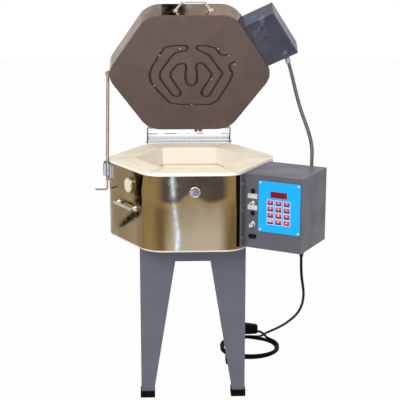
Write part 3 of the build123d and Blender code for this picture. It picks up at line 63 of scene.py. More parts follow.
MM = 0.001
KILN_AXIS = Vector((0.0521961, 0.0057967, 0.0))  # the row frame's origin from the kiln's axis, in metres
BRICK_FACE = 228.6  # from the axis to the middle of a side of the brick hexagon
JACKET_FACE = 229.6  # the same for the outside of the steel jacket
BOX_SIDE = math.radians(-30)  # way in which the side with the control box faces
PANEL_T = -103.0  # face of the control panel, along that side
PLATE_T = 2.5  # thickness of the keypad plate on the panel
KEYPAD_N = 114.0  # middle of the display and the keys, out from the brick
HINGE = (0.0, 278.0, 726.0)  # a point on the hinge pin
LID_OPEN = math.radians(58.3)  # how far the lid is propped up at rest
RIM_Z = 730.0  # top of the wall bricks
RIGHT = (1.0, 0.0, 0.0)
UP = (0.0, 0.0, 1.0)
WHITE = (1.0, 1.0, 1.0)
QUARTER = math.pi / 2
UPRIGHT = Matrix.Rotation(QUARTER, 4, "X")  # stands a flat drawing up, facing out of the control panel
SAME_LEVEL = 1e-5  # metres within which faces lie on one level

log = logging.getLogger("kiln")


def spot(x: float, y: float, z: float) -> Vector:
    """A point of the kiln, in the row frame's metres."""
    return Vector((x, y, z)) * MM - KILN_AXIS


def box_place(n: float, t: float, z: float) -> Matrix:
    """Place on the control box's side of the kiln.

    Args:
        n: Distance out from the brick's flat, in millimetres.
        t: Distance along that flat, towards the rear, in millimetres.
        z: Level above the floor, in millimetres.

    Returns:
        A matrix whose X runs outward, Y along the flat and Z up.
    """
    turn = Matrix.Rotation(BOX_SIDE, 4, "Z")
    place = turn @ Vector((BRICK_FACE + n, t, z))
    return Matrix.Translation(spot(*place)) @ turn


def lid_open() -> Matrix:
    """The turn about the hinge pin from the closed lid to the propped one, in the row frame."""
    pin = Matrix.Translation(spot(*HINGE))
    return pin @ Matrix.Rotation(-LID_OPEN, 4, "X") @ pin.inverted()


def tint(colour: Colour, factor: float) -> Colour:
    """A colour made darker or lighter by a factor."""
    return tuple(factor * part for part in colour)


# Finishes


class Graph:
    """A material's node tree, with short calls for the nodes that the finishes use."""

    def __init__(self, name: str) -> None:
        """Starts a material.

        Args:
            name: The material's name.
        """
        self.material = bpy.data.materials.new(name)
        self.material.use_nodes = True
        self.tree = self.material.node_tree
        self.shader = self.tree.nodes["Principled BSDF"]
        self.place = self.add("ShaderNodeTexCoord").outputs["Object"]

    def add(self, kind: str, inputs: dict[str | int, object] | None = None,
            **settings: object) -> bpy.types.Node:
        """Adds a node.

        Args:
            kind: The node's type name.
            inputs: Values or output sockets for the node's inputs, by name or number.
            settings: Attributes of the node.

        Returns:
            The node.
        """
        node = self.tree.nodes.new(kind)
        for key, value in settings.items():
            setattr(node, key, value)
        for key, value in (inputs or {}).items():
            if isinstance(value, Socket):
                self.tree.links.new(value, node.inputs[key])
            else:
                node.inputs[key].default_value = value
        return node

    def stretched(self, scale: Point, turn: Point = (0, 0, 0)) -> Socket:
        """Object coordinates, turned and scaled for a pattern with a direction."""
        values = {"Vector": self.place, "Rotation": turn, "Scale": scale}
        return self.add("ShaderNodeMapping", values).outputs["Vector"]

    def noise(self, scale: float, detail: float = 3.0, rough: float = 0.5,
              at: Socket | None = None) -> Socket:
        """Soft clouds, with scale in cells per metre."""
        values = {"Vector": at or self.place, "Scale": scale, "Detail": detail, "Roughness": rough}
        return self.add("ShaderNodeTexNoise", values).outputs["Fac"]

    def pores(self, scale: float) -> Socket:
        """Distance from scattered points, with scale in points per metre."""
        values = {"Vector": self.place, "Scale": scale}
        return self.add("ShaderNodeTexVoronoi", values).outputs["Distance"]

    def fade(self, factor: Socket, low: float, high: float, start: float = 0.0,
             end: float = 1.0) -> Socket:
        """A factor that goes smoothly from start to end as another goes from low to high."""
        values = {"Value": factor, "From Min": low, "From Max": high, "To Min": start, "To Max": end}
        return self.add("ShaderNodeMapRange", values, interpolation_type="SMOOTHSTEP").outputs["Result"]

    def mix(self, factor: Socket | float, first: Socket | Colour, second: Socket | Colour) -> Socket:
        """Mixes two colours.

        Args:
            factor: The second colour's share.
            first: Colour where the factor is 0.
            second: Colour where the factor is 1.

        Returns:
            The mixed colour.
        """
        colours = [value if isinstance(value, Socket) else (*value, 1.0) for value in (first, second)]
        values = {0: factor, 6: colours[0], 7: colours[1]}
        return self.add("ShaderNodeMix", values, data_type="RGBA").outputs[2]

    def calc(self, kind: str, first: Socket | float, second: Socket | float = 0.0) -> Socket:
        """One step of arithmetic on numbers."""
        return self.add("ShaderNodeMath", {0: first, 1: second}, operation=kind).outputs["Value"]

    def times(self, first: Socket, second: Socket | float) -> Socket:
        """The product of two factors."""
        return self.calc("MULTIPLY", first, second)

    def along(self, direction: Sequence[float], origin: Vector) -> Socket:
        """Distance of the surface point from a plane.

        Args:
            direction: Unit vector across the plane.
            origin: A point of the plane.

        Returns:
            The distance in metres, less than zero behind the plane.
        """
        local = self.add("ShaderNodeVectorMath", {0: self.place, 1: tuple(origin)}, operation="SUBTRACT")
        values = {0: local.outputs["Vector"], 1: tuple(direction)}
        return self.add("ShaderNodeVectorMath", values, operation="DOT_PRODUCT").outputs["Value"]

    def height(self, level: float = 0.0) -> Socket:
        """Height of the surface point above a level, in metres."""
        return self.along(UP, Vector((0, 0, level)))

    def near(self, point: Vector) -> Socket:
        """Distance of the surface point from another point, in metres."""
        values = {0: self.place, 1: tuple(point)}
        return self.add("ShaderNodeVectorMath", values, operation="DISTANCE").outputs["Value"]

    def line(self, distance: Socket, core: float, edge: float, strength: float = 1.0) -> Socket:
        """A line where a distance is about zero: full up to its core, gone past its edge."""
        return self.fade(self.calc("ABSOLUTE", distance), core, edge, strength, 0.0)

    def bump(self, height: Socket, distance: float, strength: float = 1.0) -> None:
        """Adds relief on top of the relief that the shader already has.

        Args:
            height: Pattern of the relief.
            distance: Its depth in metres.
            strength: How much of it shows.
        """
        node = self.add("ShaderNodeBump", {"Height": height, "Distance": distance, "Strength": strength})
        before = self.shader.inputs["Normal"].links
        if before:
            self.tree.links.new(before[0].from_socket, node.inputs["Normal"])
        self.tree.links.new(node.outputs["Normal"], self.shader.inputs["Normal"])

    def shade(self, colour: Socket, roughness: Socket | float, metallic: float = 0.0,
              gloss: float | None = None) -> Material:
        """Connects the shader.

        Args:
            colour: Socket for the base colour.
            roughness: Socket or value.
            metallic: Value from 0 to 1.
            gloss: Specular level, or None for the shader's own.

        Returns:
            The finished material.
        """
        self.tree.links.new(colour, self.shader.inputs["Base Color"])
        if isinstance(roughness, Socket):
            self.tree.links.new(roughness, self.shader.inputs["Roughness"])
        else:
            self.shader.inputs["Roughness"].default_value = roughness
        self.shader.inputs["Metallic"].default_value = metallic
        if gloss is not None:
            self.shader.inputs["Specular IOR Level"].default_value = gloss
        return self.material


@dataclass(frozen=True)
class Enamel:
    """Baked enamel on sheet steel: slightly mottled, fine orange peel, pale streaks of rubbing and painted
    highlight.
    """

    name: str
    colour: Colour
    second_tone: Colour
    roughness: float = 0.42
    scuffs_and_highlight: float = 0.0
    clouds: float = 14.0
    speckles: float = 520.0
    streak_scale: float = 34.0
    peel: float = 700.0
    dents: float = 9.0

    def material(self) -> Material:
        """Builds the finish.

        Returns:
            Its material.
        """
        g = Graph(self.name)
        clouds = g.noise(self.clouds, 4.0)
        colour = g.mix(g.fade(clouds, 0.35, 0.7), self.colour, self.second_tone)
        speckle = g.fade(g.noise(self.speckles, 2.0), 0.52, 0.66, 0.0, 0.55)
        colour = g.mix(speckle, colour, tint(self.colour, 0.84))
        if self.scuffs_and_highlight:
            # Pale streaks: rubbed scuffs, with a painted highlight along them.
            streak_pattern = g.noise(self.streak_scale, 5.0, 0.7, g.stretched((1.0, 1.0, 0.25), (0.4, 0.5, 0.3)))
            pale = tuple(min(1.0, 2.6 * part + 0.03) for part in self.colour)
            colour = g.mix(g.fade(streak_pattern, 0.54, 0.70, 0.0, self.scuffs_and_highlight), colour, pale)
        g.bump(g.noise(self.peel, 2.0), 0.00006, 0.6)
        g.bump(g.noise(self.dents, 2.0), 0.0006, 0.35)
        rough = g.fade(clouds, 0.3, 0.75, self.roughness - 0.05, self.roughness + 0.1)
        return g.shade(colour, rough)


@dataclass(frozen=True)
class Firebrick:
    """Insulating firebrick: cream, porous and slightly stained.

    With a course level it is the kiln's wall: thin joints run at the joint angles and between the two
    courses, and the sides below the rim are painted paler than its top, outside and in the chamber, as
    painted light.
    """

    name: str
    colour: Colour
    stain: Colour
    joint: Colour
    joint_angles: tuple[float, ...] = ()
    course_z: float = 0.0
    stains: float = 11.0
    grains: float = 160.0
    crumbs: float = 330.0
    rim_edge: Span = (0.7285, 0.7297)
    outside: Span = (0.200, 0.215)
    outer_side_painted_light: Colour = (0.97, 0.945, 0.87)
    chamber_side_painted_light: Colour = (0.97, 0.915, 0.81)

    def courses(self, g: Graph, colour: Socket) -> Socket:
        """Draws the joint between the courses and the painted light on the pale sides.

        Args:
            g: The material's graph.
            colour: The brick's colour without them.

        Returns:
            The colour with them.
        """
        off = g.calc("ABSOLUTE", g.height(self.course_z))
        colour = g.mix(g.fade(off, 0.0008, 0.0024, 0.8, 0.0), colour, self.joint)
        # Painted light: the sides below the rim, outside and in the chamber, are made paler than the top.
        below = g.fade(g.height(), *self.rim_edge, 1.0, 0.0)
        outer = g.fade(g.near(spot(0, 0, 725)), *self.outside)
        colour = g.mix(g.times(below, outer), colour, self.outer_side_painted_light)
        inner = g.times(below, g.calc("SUBTRACT", 1.0, outer))
        inner = g.times(inner, g.fade(off, 0.0008, 0.0024, 0.2, 0.85))
        return g.mix(inner, colour, self.chamber_side_painted_light)

    def material(self) -> Material:
        """Builds the finish.

        Returns:
            Its material.
        """
        g = Graph(self.name)
        colour = g.mix(g.fade(g.noise(self.stains, 5.0, 0.6), 0.38, 0.68), self.colour, self.stain)
        grain = g.noise(self.grains, 4.0, 0.65)
        colour = g.mix(g.fade(grain, 0.55, 0.8, 0.0, 0.4), colour, self.stain)
        # The pores are painted darker: painted shade in the holes.
        holes = g.fade(g.pores(self.crumbs), 0.10, 0.24, 1.0, 0.0)
        colour = g.mix(g.times(holes, 0.35), colour, self.joint)
        g.bump(g.times(holes, -1.0), 0.0004)
        g.bump(grain, 0.0005, 0.6)
        for angle in self.joint_angles:
            turn = math.radians(angle)
            plane = g.along((-math.sin(turn), math.cos(turn), 0.0), spot(0, 0, 0))
            line = g.line(plane, 0.0008, 0.0022)
            colour = g.mix(g.times(line, 0.75), colour, self.joint)
            g.bump(g.times(line, -1.0), 0.0006)
        if self.course_z:
            colour = self.courses(g, colour)
        return g.shade(colour, 0.92, gloss=0.2)


@dataclass(frozen=True)
class ShadedUnderside:
    """The lid's slab: a grey brown fired face, dark partly as painted shade, with two faint seams; cream
    brick where its sides show.
    """

    name: str
    face: Colour
    patch: Colour
    side: Colour
    depth: float = 0.0095
    seam_xs: tuple[float, ...] = (-29.0, 29.0)
    patches: float = 13.0
    grains: float = 190.0
    crumbs: float = 300.0

    def material(self) -> Material:
        """Builds the finish.

        Returns:
            Its material.
        """
        g = Graph(self.name)
        turn = lid_open().to_3x3()
        height = g.along(turn @ Vector(UP), lid_open() @ spot(0, 0, RIM_Z + 0.3))
        forward = turn @ Vector((0, -1, 0))
        # The face's dark grey brown is partly painted shade.
        fired = g.mix(g.fade(g.noise(self.patches, 5.0, 0.6), 0.35, 0.68), self.face, self.patch)
        grain = g.noise(self.grains, 4.0, 0.65)
        fired = g.mix(g.fade(grain, 0.5, 0.75, 0.0, 0.35), fired, self.patch)
        # The pores are painted darker: painted shade in the holes.
        holes = g.fade(g.pores(self.crumbs), 0.10, 0.24, 1.0, 0.0)
        fired = g.mix(g.times(holes, 0.4), fired, tint(self.face, 0.4))
        for x in self.seam_xs:
            seam = g.line(g.along(RIGHT, spot(x, 0, 0)), 0.0004, 0.0016)
            upper = g.fade(g.along(forward, lid_open() @ spot(0, 0, RIM_Z)), 0.02, 0.12, 0.0, 0.35)
            fired = g.mix(g.times(seam, upper), fired, tint(self.patch, 1.5))
        colour = g.mix(g.fade(height, self.depth, self.depth + 0.004), fired, self.side)
        g.bump(g.times(holes, -1.0), 0.0004)
        g.bump(grain, 0.0005, 0.6)
        return g.shade(colour, 0.95, gloss=0.15)


@dataclass(frozen=True)
class MirrorSheet:
    """Polished stainless sheet with heat marks: pale straw low down, browner round the corners, and a dark
    scalloped band under the rim, partly soot and partly painted reflection."""

    name: str
    pale: Colour
    straw: Colour
    gold: Colour
    brown: Colour
    soot_and_reflection: Colour
    pale_z: Span = (0.66, 0.52)
    dark_band_z: float = 0.672
    lobes: float = 27.0
    band_off_corners: bool = True
    cusp_x: float = -12.5
    scallop: float = 0.022
    raggedness: float = 0.034

    @staticmethod
    def corner(g: Graph) -> Socket:
        """A wave that is 1 at the hexagon's corners and -1 in the middle of its sides.

        Args:
            g: The material's graph.

        Returns:
            The wave.
        """
        axis = spot(0, 0, 0)
        turn = g.calc("ARCTAN2", g.along((0, 1, 0), axis), g.along(RIGHT, axis))
        return g.calc("COSINE", g.times(turn, 6.0))

    def flats(self, g: Graph) -> Socket:
        """How much of the dark band the sheet takes: none round the corners, a trace on the front left face.
        """
        left = g.along((-math.cos(math.pi / 6), -0.5, 0), spot(0, 0, 0))
        return g.times(g.fade(self.corner(g), 0.45, 0.97, 1.0, 0.0), g.fade(left, 0.215, 0.229, 1.0, 0.25))

    def heat(self, g: Graph, straw: Socket) -> Socket:
        """Browner bands round the corners, most of all at the front left one.

        Args:
            g: The material's graph.
            straw: The colour where the sheet stayed cool.

        Returns:
            The colour with the heat marks.
        """
        drift = g.noise(7.0, 3.0, 0.5, g.stretched((1.0, 1.0, 0.25)))
        bands = g.noise(20.0, 3.0, 0.5, g.stretched((1.0, 1.0, 0.12)))
        toast = g.mix(g.fade(bands, 0.25, 0.75, 0.15, 0.95), self.brown, self.gold)
        amount = g.fade(g.calc("ADD", self.corner(g), g.times(drift, 1.4)), 0.9, 1.7)
        cool_left = g.fade(g.near(spot(-262, 0, 600)), 0.03, 0.12)
        colour = g.mix(g.times(amount, cool_left), straw, toast)
        spread = g.calc("ADD", g.near(spot(-190, -150, 600)), g.times(drift, 0.08))
        return g.mix(g.fade(spread, 0.26, 0.15, 0.0, 0.85), colour, toast)

    def material(self) -> Material:
        """Builds the finish.

        Returns:
            Its material.
        """
        g = Graph(self.name)
        height = g.height()
        straw = g.mix(g.fade(g.noise(26.0, 4.0, 0.6), 0.35, 0.7), self.straw, tint(self.straw, 0.86))
        colour = self.heat(g, g.mix(g.fade(height, *self.pale_z), straw, self.pale))
        # Dark scalloped band under the rim: partly soot, partly painted reflection.
        wave = g.times(g.along(RIGHT, spot(self.cusp_x, 0, 0)), self.lobes)
        lobe = g.calc("ABSOLUTE", g.calc("SINE", wave))
        edge = g.calc("ADD", height, g.times(lobe, self.scallop))
        edge = g.calc("ADD", edge, g.times(g.noise(16.0, 4.0, 0.6), self.raggedness))
        colour = g.mix(g.fade(edge, self.dark_band_z - 0.026, self.dark_band_z + 0.008, 0.0, 0.6), colour, self.gold)
        soot_and_reflection = g.mix(g.fade(g.noise(18.0, 4.0), 0.40, 0.66), self.soot_and_reflection, tint(self.soot_and_reflection, 1.45))
        band_share = g.fade(edge, self.dark_band_z, self.dark_band_z + 0.018, 0.0, 0.93)
        if self.band_off_corners:
            band_share = g.times(band_share, self.flats(g))
        colour = g.mix(band_share, colour, soot_and_reflection)
        speck = g.fade(g.noise(420.0, 3.0, 0.6), 0.50, 0.72, 0.0, 0.28)
        colour = g.mix(speck, colour, tint(self.gold, 0.5))
        g.bump(g.noise(900.0, 2.0, 0.6, g.stretched((1.0, 1.0, 0.02))), 0.00001, 0.3)
        g.bump(g.noise(4.5, 1.0, 0.4, g.stretched((1.0, 1.0, 0.6))), 0.004, 0.35)
        return g.shade(colour, g.fade(g.noise(60.0, 4.0), 0.35, 0.75, 0.05, 0.10), 1.0)


@dataclass(frozen=True)
class BareMetal:
    """Plated, polished or brushed metal in small parts; metal is how much of it is bare, and the rib count
    is how many upright ribs per metre it gets as dark stripes of painted shade."""

    name: str
    colour: Colour
    dull: Colour
    roughness: float = 0.25
    metal: float = 1.0
    shaded_ribs: float = 0.0
    grain: float = 0.00001
    spots: float = 90.0

    def material(self) -> Material:
        """Builds the finish.

        Returns:
            Its material.
        """
        g = Graph(self.name)
        spots = g.noise(self.spots, 4.0, 0.6)
        colour = g.mix(g.fade(spots, 0.45, 0.75), self.colour, self.dull)
        if self.shaded_ribs:
            # Upright ribs as dark stripes: painted shade.
            wave = g.times(g.along(RIGHT, spot(0, 0, 0)), 2 * math.pi * self.shaded_ribs)
            rib = g.fade(g.calc("SINE", wave), -0.1, 0.7, 0.0, 0.85)
            colour = g.mix(rib, colour, tint(self.colour, 0.15))
        g.bump(g.noise(400.0, 2.0), self.grain, 0.5)
        rough = g.fade(spots, 0.4, 0.75, self.roughness, self.roughness + 0.12)
        return g.shade(colour, rough, self.metal)


@dataclass(frozen=True)
class ShadeLinedSheet:
    """Bright hinge sheet with painted shade: dark lines at its fold, pin and lower edge, and dark upright
    ears; each dark line is given by its level, half its width and how much of it is broken away."""

    name: str
    colour: Colour
    dull: Colour
    painted_shade: Colour
    shade_lines: tuple[tuple[float, float, float], ...]
    ear_x: float = 0.1345
    spots: float = 90.0
    breaks: float = 34.0

    def material(self) -> Material:
        """Builds the finish.

        Returns:
            Its material.
        """
        g = Graph(self.name)
        spots = g.noise(self.spots, 4.0, 0.6)
        colour = g.mix(g.fade(spots, 0.45, 0.75), self.colour, self.dull)
        broken = g.noise(self.breaks, 2.0, 0.5, g.stretched((1.0, 0.1, 0.1)))
        for level, half, gaps in self.shade_lines:
            # Dark lines of painted shade at the fold, the pin and the lower edge.
            shade_line = g.line(g.height(level), half * 0.6, half * 1.4)
            colour = g.mix(g.times(shade_line, g.fade(broken, gaps, gaps + 0.12)), colour, self.painted_shade)
        # The upright ears are darkened: painted shade.
        out = g.calc("ABSOLUTE", g.along(RIGHT, spot(0, 0, 0)))
        colour = g.mix(g.fade(out, self.ear_x, self.ear_x + 0.0004, 0.0, 0.85), colour, self.painted_shade)
        return g.shade(colour, g.fade(spots, 0.4, 0.75, 0.34, 0.46), 0.8)


@dataclass(frozen=True)
class Moulded:
    """Moulded rubber or plastic with a fine texture and dusty spots."""

    name: str
    colour: Colour
    dust: Colour
    roughness: float = 0.6
    texture: float = 0.00008
    gloss: float = 0.3
    dusting: float = 45.0

    def material(self) -> Material:
        """Builds the finish.

        Returns:
            Its material.
        """
        g = Graph(self.name)
        dusty = g.noise(self.dusting, 5.0, 0.65)
        colour = g.mix(g.fade(dusty, 0.5, 0.8), self.colour, self.dust)
        g.bump(g.noise(1100.0, 2.0), self.texture, 0.5)
        rough = g.fade(dusty, 0.4, 0.8, self.roughness, min(1.0, self.roughness + 0.15))
        return g.shade(colour, rough, gloss=self.gloss)


@dataclass(frozen=True)
class OxidisedWire:
    """Resistance wire after many firings, with the windings as relief."""

    name: str
    colour: Colour
    scale: Colour
    windings: float = 700.0

    def material(self) -> Material:
        """Builds the finish.

        Returns:
            Its material.
        """
        g = Graph(self.name)
        colour = g.mix(g.fade(g.noise(240.0, 4.0), 0.4, 0.7), self.colour, self.scale)
        g.bump(g.pores(self.windings), 0.0006)
        return g.shade(colour, 0.6, 0.6)


@dataclass(frozen=True)
class ShadedKey:
    """Membrane key on a soft gloss film: its own colour on the upper part, painted shade in dark blue on the
    lower part.
    """

    name: str
    upper: Colour
    lower: Colour
    split_z: float

    def material(self) -> Material:
        """Builds the finish.

        Returns:
            Its material.
        """
        g = Graph(self.name)
        # Below the split: dark blue painted shade.
        height = g.height(self.split_z)
        upper = g.mix(g.fade(g.noise(400.0, 3.0), 0.45, 0.75), self.upper, tint(self.upper, 0.8))
        colour = g.mix(g.fade(height, -0.0002, 0.0002), self.lower, upper)
        g.bump(g.noise(600.0, 2.0), 0.00003, 0.5)
        return g.shade(colour, 0.34)


class Kind(Enum):
    """The kiln's finishes, by what they are on."""

    STAND = Enamel("stand_enamel", (0.100, 0.113, 0.150), (0.113, 0.125, 0.158), 0.5)
    # The EDGE finishes here and below go on rounded edges: paler for rubbed paint and for a painted
    # highlight.
    STAND_EDGE = Enamel("stand_edge_wear_and_highlight", (0.20, 0.22, 0.27), (0.26, 0.28, 0.33), 0.45)
    BOX = Enamel("box_enamel", (0.093, 0.091, 0.118), (0.090, 0.085, 0.097), 0.45)
    BOX_EDGE = Enamel("box_edge_wear_and_highlight", (0.22, 0.21, 0.24), (0.30, 0.29, 0.31), 0.4)
    # The lid box's pale streaks are rubbed scuffs with a painted highlight.
    LID_BOX = Enamel("lid_box_enamel", (0.048, 0.053, 0.084), (0.064, 0.069, 0.102), 0.3, scuffs_and_highlight=0.95)
    LID_BOX_EDGE = Enamel("lid_box_edge_wear_and_highlight", (0.17, 0.18, 0.24), (0.24, 0.25, 0.31), 0.35)
    BRICK = Firebrick("rim_firebrick", (0.88, 0.80, 0.675), (0.80, 0.70, 0.56), (0.36, 0.25, 0.16),
                      joint_angles=(0, 60, 120), course_z=0.674)
    FLOOR = Firebrick("floor_firebrick", (0.86, 0.77, 0.64), (0.78, 0.67, 0.53), (0.42, 0.30, 0.20))
    # The lid slab's rounded edges: paler for worn brick and for a painted highlight.
    LID_EDGE = Firebrick("lid_edge_wear_and_highlight", (0.30, 0.235, 0.215), (0.22, 0.17, 0.155), (0.10, 0.08, 0.07))
    # The lid's face colour is partly painted shade.
    LID_FACE = ShadedUnderside("lid_fired_face_with_shade", (0.168, 0.120, 0.106), (0.140, 0.104, 0.096),
                              (0.72, 0.60, 0.44))
    JACKET = MirrorSheet("jacket_steel", (0.47, 0.395, 0.28), (0.335, 0.27, 0.172), (0.31, 0.200, 0.075),
                         (0.115, 0.072, 0.030), (0.056, 0.043, 0.038))
    # On the lid band the dark band covers all of it: partly soot, partly painted reflection.
    LID_BAND = MirrorSheet("lid_band_steel", (0.30, 0.25, 0.165), (0.24, 0.185, 0.12), (0.20, 0.14, 0.07),
                           (0.11, 0.08, 0.045), (0.225, 0.172, 0.135), pale_z=(0.60, 0.50), dark_band_z=0.50,
                           lobes=9.0, band_off_corners=False)
    # The hinge's dark lines and ears are painted shade.
    HINGE_SHEET = ShadeLinedSheet("hinge_sheet", (0.95, 0.95, 0.97), (0.90, 0.90, 0.92), (0.045, 0.04, 0.04),
                               ((0.753, 0.0013, 0.42), (0.732, 0.0010, 0.0), (0.7245, 0.0016, 0.0)))
    # The strap's ribs are dark stripes of painted shade.
    STRAP = BareMetal("strap_steel", (0.56, 0.56, 0.58), (0.42, 0.42, 0.44), 0.35, metal=0.5, shaded_ribs=110.0)
    ZINC = BareMetal("zinc_plate", (0.42, 0.42, 0.46), (0.28, 0.28, 0.31), 0.42, metal=0.5)
    STAY_STEEL = BareMetal("stay_steel", (0.27, 0.23, 0.15), (0.16, 0.135, 0.095), 0.36, metal=0.55)
    CHROME = BareMetal("bright_chrome", (0.70, 0.67, 0.60), (0.50, 0.47, 0.41), 0.06)
    HANDLE_PLATE = BareMetal("handle_plate", (0.58, 0.56, 0.46), (0.30, 0.28, 0.21), 0.10)
    # The front cap's dark bluish face is a painted reflection.
    FRONT_CAP = BareMetal("cap_face_painted_reflection", (0.24, 0.235, 0.275), (0.15, 0.14, 0.16), 0.12)
    SIDE_CAP = BareMetal("pale_cap_face", (0.92, 0.83, 0.66), (0.82, 0.73, 0.57), 0.35, metal=0.3)
    CAP_BAND = BareMetal("polished_cap_band", (0.46, 0.41, 0.34), (0.28, 0.23, 0.17), 0.16)
    CONDUIT = BareMetal("ribbed_steel", (0.125, 0.115, 0.10), (0.055, 0.05, 0.043), 0.42, metal=0.4)
    LABEL = BareMetal("label_plate", (0.70, 0.68, 0.64), (0.58, 0.56, 0.52), 0.5, metal=0.5, grain=0.0)
    BRIGHT_SCREW = BareMetal("bright_screw", (0.86, 0.86, 0.84), (0.66, 0.66, 0.65), 0.22)
    RUBBER = Moulded("foot_rubber", (0.006, 0.006, 0.007), (0.014, 0.013, 0.012), 0.75, gloss=0.02)
    CORD = Moulded("cord_jacket", (0.005, 0.005, 0.0055), (0.010, 0.009, 0.009), 0.5, 0.00005, 0.05)
    BLACK = Moulded("moulded_black", (0.008, 0.008, 0.009), (0.016, 0.016, 0.016), 0.45, 0.00005, 0.08)
    PLATE_BLUE = Moulded("keypad_blue", (0.0, 0.415, 0.94), (0.0, 0.37, 0.86), 0.36, 0.00003)
    KEY_SURROUND = Moulded("key_surround", (0.58, 0.68, 0.84), (0.50, 0.60, 0.78), 0.4, 0.00003)
    DISPLAY = Moulded("display_window", (0.21, 0.0, 0.004), (0.17, 0.0, 0.004), 0.25, 0.00001, 0.2)
    DIGIT = Moulded("display_digit", (0.50, 0.015, 0.025), (0.42, 0.01, 0.02), 0.4, 0.00001)
    LEGEND = Moulded("key_legend", (0.86, 0.70, 0.74), (0.78, 0.60, 0.66), 0.4, 0.00001)
    LAMP = Moulded("lamp_lens", (0.014, 0.001, 0.002), (0.010, 0.001, 0.002), 0.15, 0.00001, 0.12)
    CERAMIC = Moulded("glazed_ceramic", (0.84, 0.80, 0.72), (0.74, 0.68, 0.58), 0.5)
    BOARD = Moulded("circuit_board", (0.03, 0.20, 0.08), (0.02, 0.15, 0.06), 0.45)
    POWER = Moulded("relay_case", (0.06, 0.06, 0.07), (0.10, 0.10, 0.10), 0.5)
    ELEMENT = OxidisedWire("element_wire", (0.055, 0.047, 0.05), (0.105, 0.085, 0.08))

    def cloth(self) -> Material:
        """The finish's material, made once."""
        return bpy.data.materials.get(self.value.name) or self.value.material()


# Workshop


